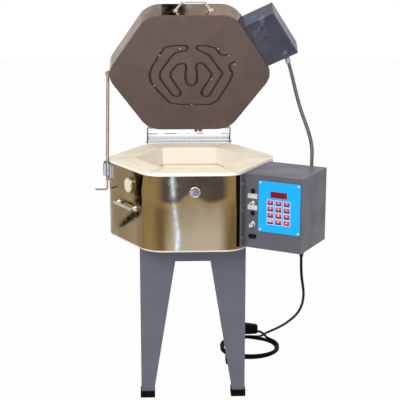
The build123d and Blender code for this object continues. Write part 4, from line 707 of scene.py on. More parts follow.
class Bench:
    """Mesh work with Blender's own operators, one piece at a time; all sizes are in millimetres."""

    HARD_EDGE = math.radians(35)
    SMOOTH_EDGE = math.radians(42)
    SAME_PLANE = math.radians(0.4)
    SAME_POINT = 1e-6

    @staticmethod
    def only(piece: Object) -> None:
        """Selects one object and nothing else.

        Args:
            piece: The object.
        """
        if bpy.context.object is not None and bpy.context.object.mode != "OBJECT":
            bpy.ops.object.mode_set(mode="OBJECT")
        bpy.ops.object.select_all(action="DESELECT")
        bpy.context.view_layer.objects.active = piece
        piece.select_set(True)

    @staticmethod
    def clear() -> None:
        """Deselects everything before a primitive is added."""
        bpy.ops.object.select_all(action="DESELECT")

    @staticmethod
    def settle(name: str) -> Object:
        """Puts the object of a new primitive at the origin.

        Args:
            name: The piece's name.

        Returns:
            The piece.
        """
        bpy.ops.object.transform_apply(location=True, rotation=True, scale=True)
        piece = bpy.context.object
        piece.name = name
        return piece

    @staticmethod
    def block(size: Sequence[float], centre: Sequence[float], name: str) -> Object:
        """Makes a box.

        Args:
            size: Its length along X, Y and Z.
            centre: Its middle.
            name: The piece's name.

        Returns:
            The box.
        """
        Bench.clear()
        bpy.ops.mesh.primitive_cube_add(size=1.0, location=Vector(centre) * MM)
        bpy.context.object.scale = Vector(size) * MM
        return Bench.settle(name)

    @staticmethod
    def round(radius: float, height: float, centre: Sequence[float], name: str, sides: int = 48,
              turn: Sequence[float] = (0, 0, 0)) -> Object:
        """Makes a round bar, or one with a few flat sides.

        Args:
            radius: Its radius.
            height: Its length.
            centre: Its middle.
            name: The piece's name.
            sides: Number of sides.
            turn: Turn from upright about X, Y and Z, in radians.

        Returns:
            The bar.
        """
        Bench.clear()
        bpy.ops.mesh.primitive_cylinder_add(vertices=sides, radius=radius * MM, depth=height * MM,
                                            location=Vector(centre) * MM, rotation=tuple(turn))
        return Bench.settle(name)

    @staticmethod
    def turned(profile: Sequence[Span], name: str, sides: int = 40) -> Object:
        """Makes a turned piece about Z by extruding and sizing the end face step by step.

        Args:
            profile: Radius and level of each ring, from the bottom up.
            name: The piece's name.
            sides: Number of sides.

        Returns:
            The closed piece.
        """
        Bench.clear()
        (radius, level), *rest = profile
        bpy.ops.mesh.primitive_circle_add(vertices=sides, radius=radius * MM, fill_type="NGON",
                                          location=(0, 0, level * MM))
        piece = Bench.settle(name)
        bpy.ops.object.mode_set(mode="EDIT")
        for wide, high in rest:
            bpy.ops.mesh.extrude_region_move(TRANSFORM_OT_translate={"value": (0, 0, (high - level) * MM)})
            bpy.ops.transform.resize(value=(wide / radius, wide / radius, 1.0))
            radius, level = wide, high
        Bench.face_out()
        return piece

    @staticmethod
    def face_out() -> None:
        """Turns all faces of the mesh in edit mode outwards, and leaves edit mode."""
        bpy.ops.mesh.select_all(action="SELECT")
        bpy.ops.mesh.normals_make_consistent(inside=False)
        bpy.ops.object.mode_set(mode="OBJECT")

    @staticmethod
    def pick(piece: Object, wanted: FaceTest) -> None:
        """Selects the faces that a test accepts, and opens edit mode.

        Args:
            piece: The mesh object.
            wanted: Test on a face.
        """
        Bench.only(piece)
        bpy.ops.object.mode_set(mode="EDIT")
        bpy.ops.mesh.select_mode(type="FACE")
        bpy.ops.mesh.select_all(action="DESELECT")
        bpy.ops.object.mode_set(mode="OBJECT")
        for face in piece.data.polygons:
            face.select = wanted(face)
        bpy.ops.object.mode_set(mode="EDIT")

    @staticmethod
    def done() -> None:
        """Leaves edit mode."""
        bpy.ops.object.mode_set(mode="OBJECT")

    @staticmethod
    def taper(piece: Object, wanted: FaceTest, scale: Point) -> None:
        """Sizes the faces that a test accepts.

        Args:
            piece: The mesh object.
            wanted: Test on a face.
            scale: Factors along X, Y and Z.
        """
        Bench.pick(piece, wanted)
        bpy.ops.transform.resize(value=scale)
        Bench.done()

    @staticmethod
    def inset(piece: Object, wanted: FaceTest, *steps: Span) -> None:
        """Insets the faces that a test accepts, step by step.

        Args:
            piece: The mesh object.
            wanted: Test on a face.
            steps: Width and height of each step; a height below zero goes in.
        """
        Bench.pick(piece, wanted)
        for width, height in steps:
            bpy.ops.mesh.inset(thickness=width * MM, depth=height * MM)
        Bench.done()

    @staticmethod
    def soften(piece: Object, width: float, segments: int = 2, edge_finish: int = -1) -> None:
        """Rounds the piece's hard edges and keeps its flats flat.

        Args:
            piece: The mesh object.
            width: Width of the rounding.
            segments: Steps in the rounding.
            edge_finish: Number of the finish that the rounding gets, or -1 for the piece's own.
        """
        Bench.only(piece)
        if width > 0:
            bevel = piece.modifiers.new("edge", "BEVEL")
            bevel.width = width * MM
            bevel.segments = segments
            bevel.limit_method = "ANGLE"
            bevel.angle_limit = Bench.HARD_EDGE
            bevel.use_clamp_overlap = True
            bevel.material = edge_finish
            bpy.ops.object.modifier_apply(modifier=bevel.name)
        bpy.ops.object.shade_smooth_by_angle(angle=Bench.SMOOTH_EDGE)
        weigh = piece.modifiers.new("flats", "WEIGHTED_NORMAL")
        weigh.keep_sharp = True
        bpy.ops.object.modifier_apply(modifier=weigh.name)

    @staticmethod
    def place(piece: Object, matrix: Matrix) -> None:
        """Moves a drawn piece to its place and leaves its object at the origin.

        Args:
            piece: The mesh object.
            matrix: The move.
        """
        Bench.only(piece)
        piece.matrix_world = matrix
        bpy.ops.object.transform_apply(location=True, rotation=True, scale=True)

    @staticmethod
    def weld(pieces: Sequence[Object], name: str) -> Object:
        """Joins drawn pieces.

        Args:
            pieces: The pieces.
            name: Name of the joined piece.

        Returns:
            The joined piece.
        """
        Bench.only(pieces[0])
        for piece in pieces[1:]:
            piece.select_set(True)
        bpy.ops.object.join()
        pieces[0].name = name
        return pieces[0]

    @staticmethod
    def row(model: Object, places: Iterable[Matrix], name: str) -> Object:
        """Makes one piece of copies of a model, each with its own mesh, and removes the model.

        Args:
            model: What is repeated.
            places: Where each copy goes.
            name: The piece's name.

        Returns:
            The piece.
        """
        copies = []
        for place in places:
            copy = model.copy()
            copy.data = model.data.copy()
            bpy.context.collection.objects.link(copy)
            Bench.place(copy, place)
            copies.append(copy)
        bpy.data.objects.remove(model)
        return Bench.weld(copies, name)

    @staticmethod
    def curve(name: str, places: Sequence[Sequence[float]], resolution: int) -> Object:
        """Draws a smooth curve that starts and ends on its first and last point.

        Args:
            name: The curve's name.
            places: Its points.
            resolution: Steps between two points.

        Returns:
            The curve object.
        """
        data = bpy.data.curves.new(name, "CURVE")
        data.dimensions = "3D"
        spline = data.splines.new("NURBS")
        spline.points.add(len(places) - 1)
        for point, place in zip(spline.points, places):
            point.co = (*spot(*place), 1.0)
        spline.order_u = 3
        spline.use_endpoint_u = True
        data.resolution_u = resolution
        line = bpy.data.objects.new(name, data)
        bpy.context.collection.objects.link(line)
        return line

    @staticmethod
    def from_node(node: str, name: str, edge: float = 0.0, kind: Kind | None = None,
                  second_tone: Kind | None = None) -> Object:
        """Makes a merged and softened copy of a CAD node's mesh that stands for the node.

        Args:
            node: The CAD node's name.
            name: The new piece's name.
            edge: Width of the rounded edges.
            kind: The piece's finish.
            second_tone: The finish of its rounded edges, paler for rubbing and for a painted highlight.

        Returns:
            The new piece, which still has to ride on a body.
        """
        piece = bpy.data.objects.new(name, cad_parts[node].data.copy())
        bpy.context.collection.objects.link(piece)
        piece.data.materials.clear()
        for finish in (kind, second_tone):
            if finish is not None:
                piece.data.materials.append(finish.cloth())
        Bench.only(piece)
        bpy.ops.object.mode_set(mode="EDIT")
        bpy.ops.mesh.select_all(action="SELECT")
        bpy.ops.mesh.remove_doubles(threshold=Bench.SAME_POINT)
        bpy.ops.mesh.dissolve_limited(angle_limit=Bench.SAME_PLANE)
        bpy.ops.object.mode_set(mode="OBJECT")
        Bench.soften(piece, edge, edge_finish=1 if second_tone else -1)
        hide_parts(node)
        return piece


def dress(piece: Object, finish: Material) -> None:
    """Gives a piece one finish all over."""
    piece.data.materials.clear()
    piece.data.materials.append(finish)


def fit(piece: Object, slot: str, body: str, *nodes: str) -> Object:
    """Fits a finished piece to the model.

    Args:
        piece: The piece.
        slot: Not used.
        body: The body that it rides on.
        nodes: The CAD nodes that it stands for.

    Returns:
        The piece.
    """
    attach(piece, body)
    if nodes:
        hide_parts(*nodes)
    return piece


# Studio


def blank(name: str) -> tuple[Material, bpy.types.NodeTree]:
    """Starts a material that has no shader yet.

    Args:
        name: The material's name.

    Returns:
        The material and its node tree.
    """
    material = bpy.data.materials.new(name)
    material.use_nodes = True
    material.node_tree.nodes.remove(material.node_tree.nodes["Principled BSDF"])
    return material, material.node_tree


@dataclass
class Studio:
    """White studio: the photograph's camera, a floor, soft lamps, a white world and reflection cards."""

    eye: Point = (-0.15370, -3.38761, 1.42938)
    pitch: float = 0.24229
    yaw: float = -0.03802
    lens: float = 100.67
    sensor: float = 36.0
    world_light: float = 0.42
    floor_radius: float = 9.0
    floor_z: float = -0.0004
    floor_share: float = 0.97
    floor_colour: Colour = (0.82, 0.82, 0.81)
    lamp_list: tuple[tuple[str, Point, Point, Span, float, Colour], ...] = (
        ("key", (-1.5, -2.9, 2.7), (0.0, 0.0, 0.6), (1.6, 1.6), 74.0, (1.0, 0.98, 0.94)),
        ("overhead", (0.1, -1.1, 3.0), (0.0, 0.0, 0.6), (2.0, 1.4), 30.0, (1.0, 0.98, 0.95)),
        ("fill", (2.2, -2.6, 1.5), (0.1, 0.0, 0.6), (1.6, 1.6), 12.0, (0.94, 0.96, 1.0)),
    )
    card_colour: Colour = (0.012, 0.010, 0.009)
    streak: tuple[Point, ...] = ((-0.106, -1.113, 0.530), (-0.101, -1.109, 0.435), (-0.091, -1.105, 0.360),
                                 (-0.083, -1.102, 0.302), (-0.087, -1.098, 0.235))
    streak_half: float = 0.0055

    def camera(self) -> None:
        """Sets the camera that sees the kiln as the photograph does, and plain colours."""
        data = bpy.data.cameras.new("front_camera")
        data.lens = self.lens
        data.sensor_width = self.sensor
        view = bpy.data.objects.new("front_camera", data)
        view.location = self.eye
        view.rotation_euler = (QUARTER - self.pitch, 0.0, self.yaw)
        bpy.context.collection.objects.link(view)
        bpy.context.scene.camera = view
        bpy.context.scene.view_settings.view_transform = "Standard"

    @staticmethod
    def white(tree: bpy.types.NodeTree, light: float, share: float) -> Socket:
        """Tells what the camera and reflections see from what lights the kiln.

        Args:
            tree: The node tree.
            light: The factor for light on the kiln.
            share: The factor for the camera and for reflections.

        Returns:
            The factor.
        """
        path = tree.nodes.new("ShaderNodeLightPath")
        seen = path.outputs["Is Camera Ray"]
        for name in ("Is Glossy Ray", "Is Transmission Ray"):
            add = tree.nodes.new("ShaderNodeMath")
            add.operation = "MAXIMUM"
            tree.links.new(seen, add.inputs[0])
            tree.links.new(path.outputs[name], add.inputs[1])
            seen = add.outputs["Value"]
        level = tree.nodes.new("ShaderNodeMapRange")
        level.inputs["To Min"].default_value = light
        level.inputs["To Max"].default_value = share
        tree.links.new(seen, level.inputs["Value"])
        return level.outputs["Result"]

    def world(self) -> None:
        """White world, dimmer where it lights the kiln."""
        world = bpy.data.worlds.new("white_room")
        world.use_nodes = True
        bpy.context.scene.world = world
        sky = world.node_tree.nodes["Background"]
        sky.inputs["Color"].default_value = (*WHITE, 1.0)
        strength = self.white(world.node_tree, self.world_light, 1.0)
        world.node_tree.links.new(strength, sky.inputs["Strength"])

    def floor(self) -> None:
        """White floor that keeps the kiln's soft shadow."""
        Bench.clear()
        bpy.ops.mesh.primitive_circle_add(vertices=64, radius=self.floor_radius, fill_type="NGON",
                                          location=(0, 0, self.floor_z))
        ground = bpy.context.object
        ground.name = "studio_floor"
        material, tree = blank("studio_floor")
        matt = tree.nodes.new("ShaderNodeBsdfDiffuse")
        matt.inputs["Color"].default_value = (*self.floor_colour, 1.0)
        glow = tree.nodes.new("ShaderNodeEmission")
        blend = tree.nodes.new("ShaderNodeMixShader")
        tree.links.new(self.white(tree, 0.0, self.floor_share), blend.inputs["Fac"])
        tree.links.new(matt.outputs["BSDF"], blend.inputs[1])
        tree.links.new(glow.outputs["Emission"], blend.inputs[2])
        tree.links.new(blend.outputs["Shader"], tree.nodes["Material Output"].inputs["Surface"])
        ground.data.materials.append(material)

    @staticmethod
    def lamp(name: str, place: Point, target: Point, size: Span, power: float, colour: Colour) -> None:
        """Adds an area lamp that looks at a point.

        Args:
            name: The lamp's name.
            place: Where it hangs.
            target: The point.
            size: Its width and height.
            power: Its power in watts.
            colour: Its colour.
        """
        data = bpy.data.lights.new(name, "AREA")
        data.shape = "RECTANGLE"
        data.size, data.size_y = size
        data.energy = power
        data.color = colour
        lamp = bpy.data.objects.new(name, data)
        lamp.location = place
        lamp.rotation_euler = (Vector(target) - Vector(place)).to_track_quat("-Z", "Y").to_euler()
        bpy.context.collection.objects.link(lamp)

    def card(self, name: str, corners: Sequence[Point], colour: Colour | None = None,
             strength: float = 1.0) -> None:
        """Stands a studio card that only the kiln's polished metal mirrors.

        Args:
            name: The card's name.
            corners: Its corners in order, in the row frame.
            colour: Colour of a lit card; a card without it is dark.
            strength: How strongly it is lit.
        """
        Bench.clear()
        bpy.ops.mesh.primitive_circle_add(vertices=len(corners), radius=1.0, fill_type="NGON")
        card = bpy.context.object
        card.name = name
        for vertex, corner in zip(card.data.vertices, corners):
            vertex.co = corner
        material, tree = blank(name)
        shine = tree.nodes.new("ShaderNodeEmission")
        shine.inputs["Color"].default_value = (*(colour or self.card_colour), 1.0)
        shine.inputs["Strength"].default_value = strength
        tree.links.new(shine.outputs["Emission"], tree.nodes["Material Output"].inputs["Surface"])
        card.data.materials.append(material)
        card.visible_camera = False
        card.visible_diffuse = False
        card.visible_shadow = False
        card.visible_transmission = False

    @staticmethod
    def upright(x: float, y: float, width: float, low: float, high: float) -> list[Point]:
        """Gives the corners of an upright card that faces the kiln.

        Args:
            x: Where it stands, to the right of the kiln.
            y: Where it stands, behind the kiln.
            width: Its width.
            low: Height of its lower edge.
            high: Height of its upper edge.

        Returns:
            The four corners in order.
        """
        across = Vector((-y, x, 0)).normalized() * (width / 2)
        return [(x + side * across.x, y + side * across.y, z)
                for side, z in ((-1, low), (1, low), (1, high), (-1, high))]

    def cards(self) -> None:
        """Dark cards that give the metal its edges, a lit one at the hinge and a lit streak in two parts."""
        self.card("card_left_front", self.upright(-2.3, -1.5, 0.75, 0.18, 1.8))
        self.card("card_left_slim", (
            (-1.79, -2.23, 1.7), (-1.61, -2.37, 1.7), (-1.64, -2.34, 1.15), (-1.60, -2.38, 0.9),
            (-1.66, -2.33, 0.72), (-1.65, -2.34, 0.5), (-1.69, -2.31, 0.32), (-1.73, -2.28, 0.55),
            (-1.71, -2.29, 0.8), (-1.79, -2.23, 1.05), (-1.73, -2.28, 1.3)))
        self.card("card_left_low", (
            (-0.955, 0.25, 0.53), (-1.16, -0.17, 0.53), (-1.08, 0.0, 0.495), (-1.01, 0.14, 0.465),
            (-1.04, 0.08, 0.425), (-0.99, 0.18, 0.375), (-0.955, 0.25, 0.40)))
        self.card("card_right", self.upright(2.4, -1.2, 0.8, 0.0, 2.1))
        self.card("card_above", ((-0.13, 0.75, 3.6), (-0.01, 0.75, 3.6),
                                 (-0.01, 1.25, 3.6), (-0.13, 1.25, 3.6)))
        self.card("card_top_front", ((-1.3, -3.4, 3.2), (1.3, -3.4, 3.2),
                                     (1.3, -3.0, 3.6), (-1.3, -3.0, 3.6)))
        self.card("card_left_rear", (
            (-0.985, 0.310, 0.526), (-0.944, 0.220, 0.534), (-0.941, 0.215, 0.472), (-0.944, 0.226, 0.413),
            (-0.958, 0.261, 0.363), (-0.997, 0.353, 0.299), (-1.012, 0.384, 0.296), (-0.982, 0.316, 0.358),
            (-0.973, 0.292, 0.380), (-0.977, 0.300, 0.406), (-0.975, 0.295, 0.434), (-0.984, 0.312, 0.458),
            (-0.985, 0.314, 0.480), (-0.976, 0.292, 0.503)))
        self.card("card_hinge", ((-0.20, 0.227, 0.716), (0.10, 0.227, 0.716),
                                 (0.10, 0.293, 0.716), (-0.20, 0.293, 0.716)), WHITE, 1.3)
        for name, part, colour, strength in (("card_streak_high", self.streak[:2], (0.50, 0.76, 1.0), 24.0),
                                             ("card_streak", self.streak[1:], (0.37, 0.54, 1.0), 7.0)):
            near, far = ([(x + side * self.streak_half, y, z) for x, y, z in part] for side in (-1, 1))
            self.card(name, (*near, *reversed(far)), colour, strength)

    def build(self) -> None:
        """Builds the studio."""
        self.camera()
        self.world()
        self.floor()
        for values in self.lamp_list:
            self.lamp(*values)
        self.cards()


# Cords


@dataclass
class PowerCord:
    """Mains cord: free stretch from the gland, loose coil on the floor, plug lying on the coil."""

    radius: float = 0.004
    length: float = 2.55
    start: Point = (313.229, -261.672, 483.0)
    hanging: tuple[Point, ...] = (
        (313.229, -261.672, 450), (318, -252, 410), (328, -222, 367), (334.5, -170, 318), (335, -100, 264),
        (328, -40, 222), (318, 15, 187), (305, 75, 150), (290, 130, 118), (275, 185, 88), (264, 235, 62),
        (259, 275, 40), (251, 307, 22), (238, 332, 12),
    )
    tail: tuple[Point, ...] = ((268, 329, 19), (258, 338, 25), (250, 341, 28), (243, 341, 28))
    coil_centre: Span = (208.0, 248.0)
    coil_from: float = 92.0
    coil_to: float = 1130.0
    crossing: float = 70.0  # angle at which each turn of the coil crosses over the one before
    turns: tuple[tuple[float, float, float], ...] = ((90.5, 7.5, 3.0), (98.0, -9.5, 3.0), (88.5, 8.0, 4.0))
    wave: float = 2.2
    wave_shift: float = 40.0
    low: float = 4.2
    high_in: float = 12.0
    high_out: float = 12.4
    fall: float = 24.0
    rise: float = 49.2
    points_per_turn: int = 16

    def coil(self) -> list[Point]:
        """Lays three loose turns that differ in size.

        Returns:
            The points of the coil.
        """
        points = []
        step = 360 / self.points_per_turn
        for i in range(int(round((self.coil_to - self.coil_from) / step)) + 1):
            angle = self.coil_from + i * step
            turn = (angle - self.crossing) / 360
            part = turn % 1
            radius, change, pace = self.turns[int(turn)]
            radius += change * min(1.0, part * pace)
            level = self.low
            if turn < 1:
                level = max(self.low, self.high_in - self.fall * part)
            elif turn > 2:
                level = min(self.high_out, self.low + self.rise * part)
            radius += self.wave * math.sin(math.radians(angle * 2 + self.wave_shift * turn))
            radius /= math.cos(math.radians(step / 2))
            points.append((self.coil_centre[0] + radius * math.cos(math.radians(angle)),
                           self.coil_centre[1] + radius * math.sin(math.radians(angle)), level))
        return points

    def build(self) -> list[Object]:
        """Builds the cord as one smooth curve.

        Returns:
            The cord.
        """
        cord = Bench.curve("power_cord_line", (self.start, *self.hanging, *self.coil(), *self.tail), 6)
        cord.data.bevel_depth = self.radius
        cord.data.bevel_resolution = 5
        cord.data.use_fill_caps = True
        dress(cord, Kind.CORD.cloth())
        fit(cord, "cord_black", "base", "power_cord", "cord_coil")
        return [cord]


@dataclass
class Plug:
    """Moulded mains plug with finger hollows, two blades and a round earth pin."""

    centre: Point = (218.0, 341.0, 40.0)
    size: Point = (52.0, 30.0, 40.0)
    corner: float = 7.0
    cord_end: Point = (1.0, 0.72, 0.82)
    cord_end_drop: float = 3.0
    rim: tuple[Span, ...] = ((1.5, 0.0), (0.8, -0.8))
    hollow: tuple[Span, ...] = ((3.0, 0.0), (0.8, -0.9))
    blade: Point = (19.0, 1.6, 6.4)
    blade_y: float = 6.35
    blade_z: float = 3.0
    pin_radius: float = 2.4
    pin_z: float = -7.0
    sunk: float = 1.0  # how deep the metal starts inside the moulding

    def body(self) -> Object:
        """Makes the moulding, tapered towards the cord, with a raised rim at its face.

        Returns:
            The moulding.
        """
        piece = Bench.block(self.size, self.centre, "plug_moulding")
        Bench.pick(piece, lambda f: f.normal.x > 0.9)
        bpy.ops.transform.resize(value=self.cord_end)
        bpy.ops.transform.translate(value=(0, 0, -self.cord_end_drop * MM))
        Bench.done()
        Bench.soften(piece, self.corner, 6)
        Bench.inset(piece, lambda f: f.normal.x < -0.999, *self.rim)
        for side in (-1, 1):
            Bench.inset(piece, lambda f: f.normal.y * side > 0.96 and f.area > 1e-4, *self.hollow)
        Bench.soften(piece, 0.0)
        return piece

    def prongs(self) -> list[Object]:
        """Makes the two blades and the pin, each narrower at its end.

        Returns:
            The three pieces.
        """
        x, y, z = self.centre
        x -= (self.size[0] + self.blade[0]) / 2 - self.sunk
        made = []
        for side in (-1, 1):
            blade = Bench.block(self.blade, (x, y + side * self.blade_y, z + self.blade_z), "blade")
            Bench.taper(blade, lambda f: f.normal.x < -0.9, (1.0, 0.7, 0.75))
            Bench.soften(blade, 0.3)
            made.append(blade)
        pin = Bench.round(self.pin_radius, self.blade[0], (x, y, z + self.pin_z), "earth_pin", 24,
                          (0, QUARTER, 0))
        Bench.taper(pin, lambda f: f.normal.x < -0.9, (1.0, 0.6, 0.6))
        Bench.soften(pin, 0.5)
        return [*made, pin]

    def build(self) -> list[Object]:
        """Builds the whole plug.

        Returns:
            The plug.
        """
        body, prongs = self.body(), self.prongs()
        dress(body, Kind.CORD.cloth())
        for prong in prongs:
            dress(prong, Kind.ZINC.cloth())
        plug = Bench.weld([body, *prongs], "plug_moulding")
        Bench.place(plug, Matrix.Translation(-KILN_AXIS))
        return [fit(plug, "cord_black", "base", "plug")]


@dataclass
class StrainRelief:
    """Gland under the control box: two hexagonal nuts, a neck and a ribbed taper over the cord."""

    n: float = 173.5
    t: float = -70.0
    top: float = 501.0
    nut_radius: float = 8.9
    neck: tuple[Span, ...] = ((5.6, -0.6), (5.6, 1.8))
    sleeve: tuple[Span, ...] = ((7.2, -5.0), (7.2, -7.6), (6.2, -8.8), (6.6, -9.8), (5.7, -11.0),
                                (6.1, -12.0), (5.2, -13.4), (5.7, -14.4), (4.9, -16.6))

    def build(self) -> list[Object]:
        """Builds the strain relief.

        Returns:
            The strain relief.
        """
        nut = Bench.round(self.nut_radius, 5.0, (0, 0, -2.5), "gland_nut", 6)
        Bench.soften(nut, 0.7)
        inner = Bench.round(self.nut_radius, 4.0, (0, 0, 3.5), "gland_inner_nut", 6)
        Bench.soften(inner, 0.5)
        neck = Bench.turned(self.neck, "gland_neck", 32)
        sleeve = Bench.turned(self.sleeve, "gland_sleeve", 32)
        Bench.soften(sleeve, 0.25)
        relief = Bench.weld([nut, inner, neck, sleeve], "cord_strain_relief")
        Bench.place(relief, box_place(self.n, self.t, self.top))
        dress(relief, Kind.BLACK.cloth())
        return [fit(relief, "switch_black", "base", "cord_gland")]


@dataclass
class Conduit:
    """Ribbed metal conduit that hangs from the lid's connector to the control box."""

    radius: float = 5.8
    groove: float = 5.0
    rib: float = 3.0
    rings_per_rib: int = 4
    wide_rings: tuple[int, int] = (1, 2)
    sides: int = 16
    steps: int = 40
    smooth: float = math.radians(60)
    length: float = 0.374
    route: tuple[Point, ...] = (
        (310.742, 123.762, 1003.413), (319, 120, 976), (326, 94, 938), (333, 64, 902), (341.5, 35, 867),
        (350.5, 6, 838), (358.7, -24, 811), (363.6, -52, 784), (364.3, -74, 760),
        (361.758, -87.617, 736), (361.758, -87.617, 710),
    )

    def line(self) -> list[Vector]:
        """Reads points from the route's smooth curve.

        Returns:
            The points in order.
        """
        guide = Bench.curve("conduit_line", self.route, self.steps)
        mesh = bpy.data.meshes.new_from_object(guide)
        points = [vertex.co.copy() for vertex in mesh.vertices]
        bpy.data.objects.remove(guide)
        bpy.data.meshes.remove(mesh)
        return points

    def rings(self) -> tuple[list[Vector], list[Vector]]:
        """Sets rings along the line, wide at each rib and narrow between.

        Returns:
            The rings' middles, and the points of all rings in order.
        """
        points = self.line()
        reach = [0.0]
        for a, b in zip(points, points[1:]):
            reach.append(reach[-1] + (b - a).length)
        steps = self.rings_per_rib * int(reach[-1] / (self.rib * MM))
        side = Vector(RIGHT)
        centres, verts, k = [], [], 0
        for i in range(steps + 1):
            goal = reach[-1] * i / steps
            while k < len(points) - 2 and reach[k + 1] < goal:
                k += 1
            run = points[k + 1] - points[k]
            centre = points[k] + run * ((goal - reach[k]) / max(run.length, 1e-9))
            ahead = run.normalized()
            side = (side - ahead * side.dot(ahead)).normalized()
            up = ahead.cross(side)
            radius = (self.radius if i % self.rings_per_rib in self.wide_rings else self.groove) * MM
            centres.append(centre)
            verts += [centre + (side * math.cos(a) + up * math.sin(a)) * radius
                      for a in (2 * math.pi * j / self.sides for j in range(self.sides))]
        return centres, verts

    def build(self) -> list[Object]:
        """Builds the conduit.

        Returns:
            The conduit.
        """
        centres, verts = self.rings()
        count, last = self.sides, len(centres) - 1
        faces = [(i * count + j, i * count + (j + 1) % count, (i + 1) * count + (j + 1) % count,
                  (i + 1) * count + j) for i in range(last) for j in range(count)]
        faces.append(tuple(reversed(range(count))))
        faces.append(tuple(range(last * count, (last + 1) * count)))
        mesh = bpy.data.meshes.new("conduit_ribbed")
        mesh.from_pydata([tuple(v) for v in verts], [], faces)
        tube = bpy.data.objects.new("conduit_ribbed", mesh)
        bpy.context.collection.objects.link(tube)
        Bench.only(tube)
        bpy.ops.object.mode_set(mode="EDIT")
        Bench.face_out()
        bpy.ops.object.shade_smooth_by_angle(angle=self.smooth)
        dress(tube, Kind.CONDUIT.cloth())
        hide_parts("lid_conduit")
        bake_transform(tube)
        return [tube]


# Kiln body


@dataclass
class Shell:
    """Everything that keeps its CAD shape: softened copies, and nodes that only get a finish."""

    softened: tuple[tuple[str, str, str, str, float, Kind, Kind | None], ...] = (
        ("stand_ends", "stand_end_sheets", "base", "stand_grey", 0.5, Kind.STAND, Kind.STAND_EDGE),
        ("stand_sides", "stand_side_sheets", "base", "stand_grey", 0.4, Kind.STAND, Kind.STAND_EDGE),
        ("feet", "rubber_shoes", "base", "rubber_black", 1.0, Kind.RUBBER, None),
        ("floor_slab", "floor_brick_slab", "base", "firebrick", 1.5, Kind.FLOOR, None),
        ("lid_slab", "lid_brick_slab", "lid", "firebrick", 0.9, Kind.LID_FACE, Kind.LID_EDGE),
        ("body_jacket", "body_steel_jacket", "base", "stainless", 0.25, Kind.JACKET, None),
        ("lid_jacket", "lid_steel_band", "lid", "stainless", 0.3, Kind.LID_BAND, None),
        ("body_hinge", "body_hinge_leaf", "base", "stainless", 0.35, Kind.HINGE_SHEET, None),
        ("lid_hinge", "lid_hinge_leaf", "lid", "stainless", 0.35, Kind.HINGE_SHEET, None),
        ("hinge_pin", "hinge_long_pin", "base", "zinc_steel", 0.4, Kind.ZINC, None),
        ("carry_handles", "lifting_handles", "base", "chrome_trim", 0.6, Kind.HANDLE_PLATE, None),
        ("stay_bracket", "stay_strap", "base", "zinc_steel", 0.3, Kind.STRAP, None),
        ("stay_guide", "stay_swivel_guide", "stay_guide", "zinc_steel", 0.5, Kind.BLACK, None),
        ("stay_rod", "stay_tube", "stay_rod", "zinc_steel", 0.3, Kind.STAY_STEEL, None),
        ("lid_stay_bracket", "stay_lid_ear", "lid", "zinc_steel", 0.2, Kind.ZINC, None),
        ("control_box_back", "box_mounting_plate", "base", "box_grey", 0.4, Kind.BOX, Kind.BOX_EDGE),
        ("control_box_shell", "box_folded_casing", "base", "box_grey", 0.7, Kind.BOX, Kind.BOX_EDGE),
        ("control_panel", "box_front_panel", "base", "box_grey", 0.7, Kind.BOX, Kind.BOX_EDGE),
        ("controller_plate", "keypad_plate", "base", "control_blue", 0.25, Kind.PLATE_BLUE, None),
        ("display_window", "display_glass", "base", "display_red", 0.2, Kind.DISPLAY, None),
        ("indicator_lamps", "lamp_lenses", "base", "lamp_dark", 0.3, Kind.LAMP, None),
        ("label_plates", "blank_label_plates", "base", "label_pale", 0.15, Kind.LABEL, None),
        ("toggle_lever", "toggle_bat", "toggle", "chrome_trim", 0.0, Kind.CHROME, None),
        ("rocker_button", "rocker_pad", "rocker", "switch_black", 0.5, Kind.BLACK, None),
        ("conduit_fitting", "box_conduit_elbow", "base", "zinc_steel", 0.4, Kind.ZINC, None),
        ("lid_conduit_fitting", "lid_conduit_connector", "lid", "zinc_steel", 0.4, Kind.ZINC, None),
        ("lid_handle", "lid_bent_handle", "lid", "chrome_trim", 0.5, Kind.CHROME, None),
        ("lid_box", "lid_wiring_box", "lid", "lid_box_grey", 0.7, Kind.LID_BOX, Kind.LID_BOX_EDGE),
        ("lid_box_cover", "lid_wiring_cover", "lid", "lid_box_grey", 0.7, Kind.LID_BOX, Kind.LID_BOX_EDGE),
    )
    painted: tuple[tuple[str, Kind], ...] = (
        ("wall_bricks", Kind.BRICK), ("stand_screws", Kind.ZINC), ("base_plate", Kind.ZINC),
        ("wall_element", Kind.ELEMENT), ("lid_element", Kind.ELEMENT), ("lid_terminals", Kind.ELEMENT),
        ("thermocouple", Kind.CERAMIC), ("controller_board", Kind.BOARD), ("power_parts", Kind.POWER),
        ("switch_bodies", Kind.BLACK), ("box_screws", Kind.BRIGHT_SCREW),
    )

    def build(self) -> list[Object]:
        """Softens and dresses the plain nodes.

        Returns:
            The new pieces.
        """
        made = []
        for node, name, body, slot, edge, kind, second_tone in self.softened:
            made.append(fit(Bench.from_node(node, name, edge, kind, second_tone), slot, body))
        for node, kind in self.painted:
            dress(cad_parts[node], kind.cloth())
        return made


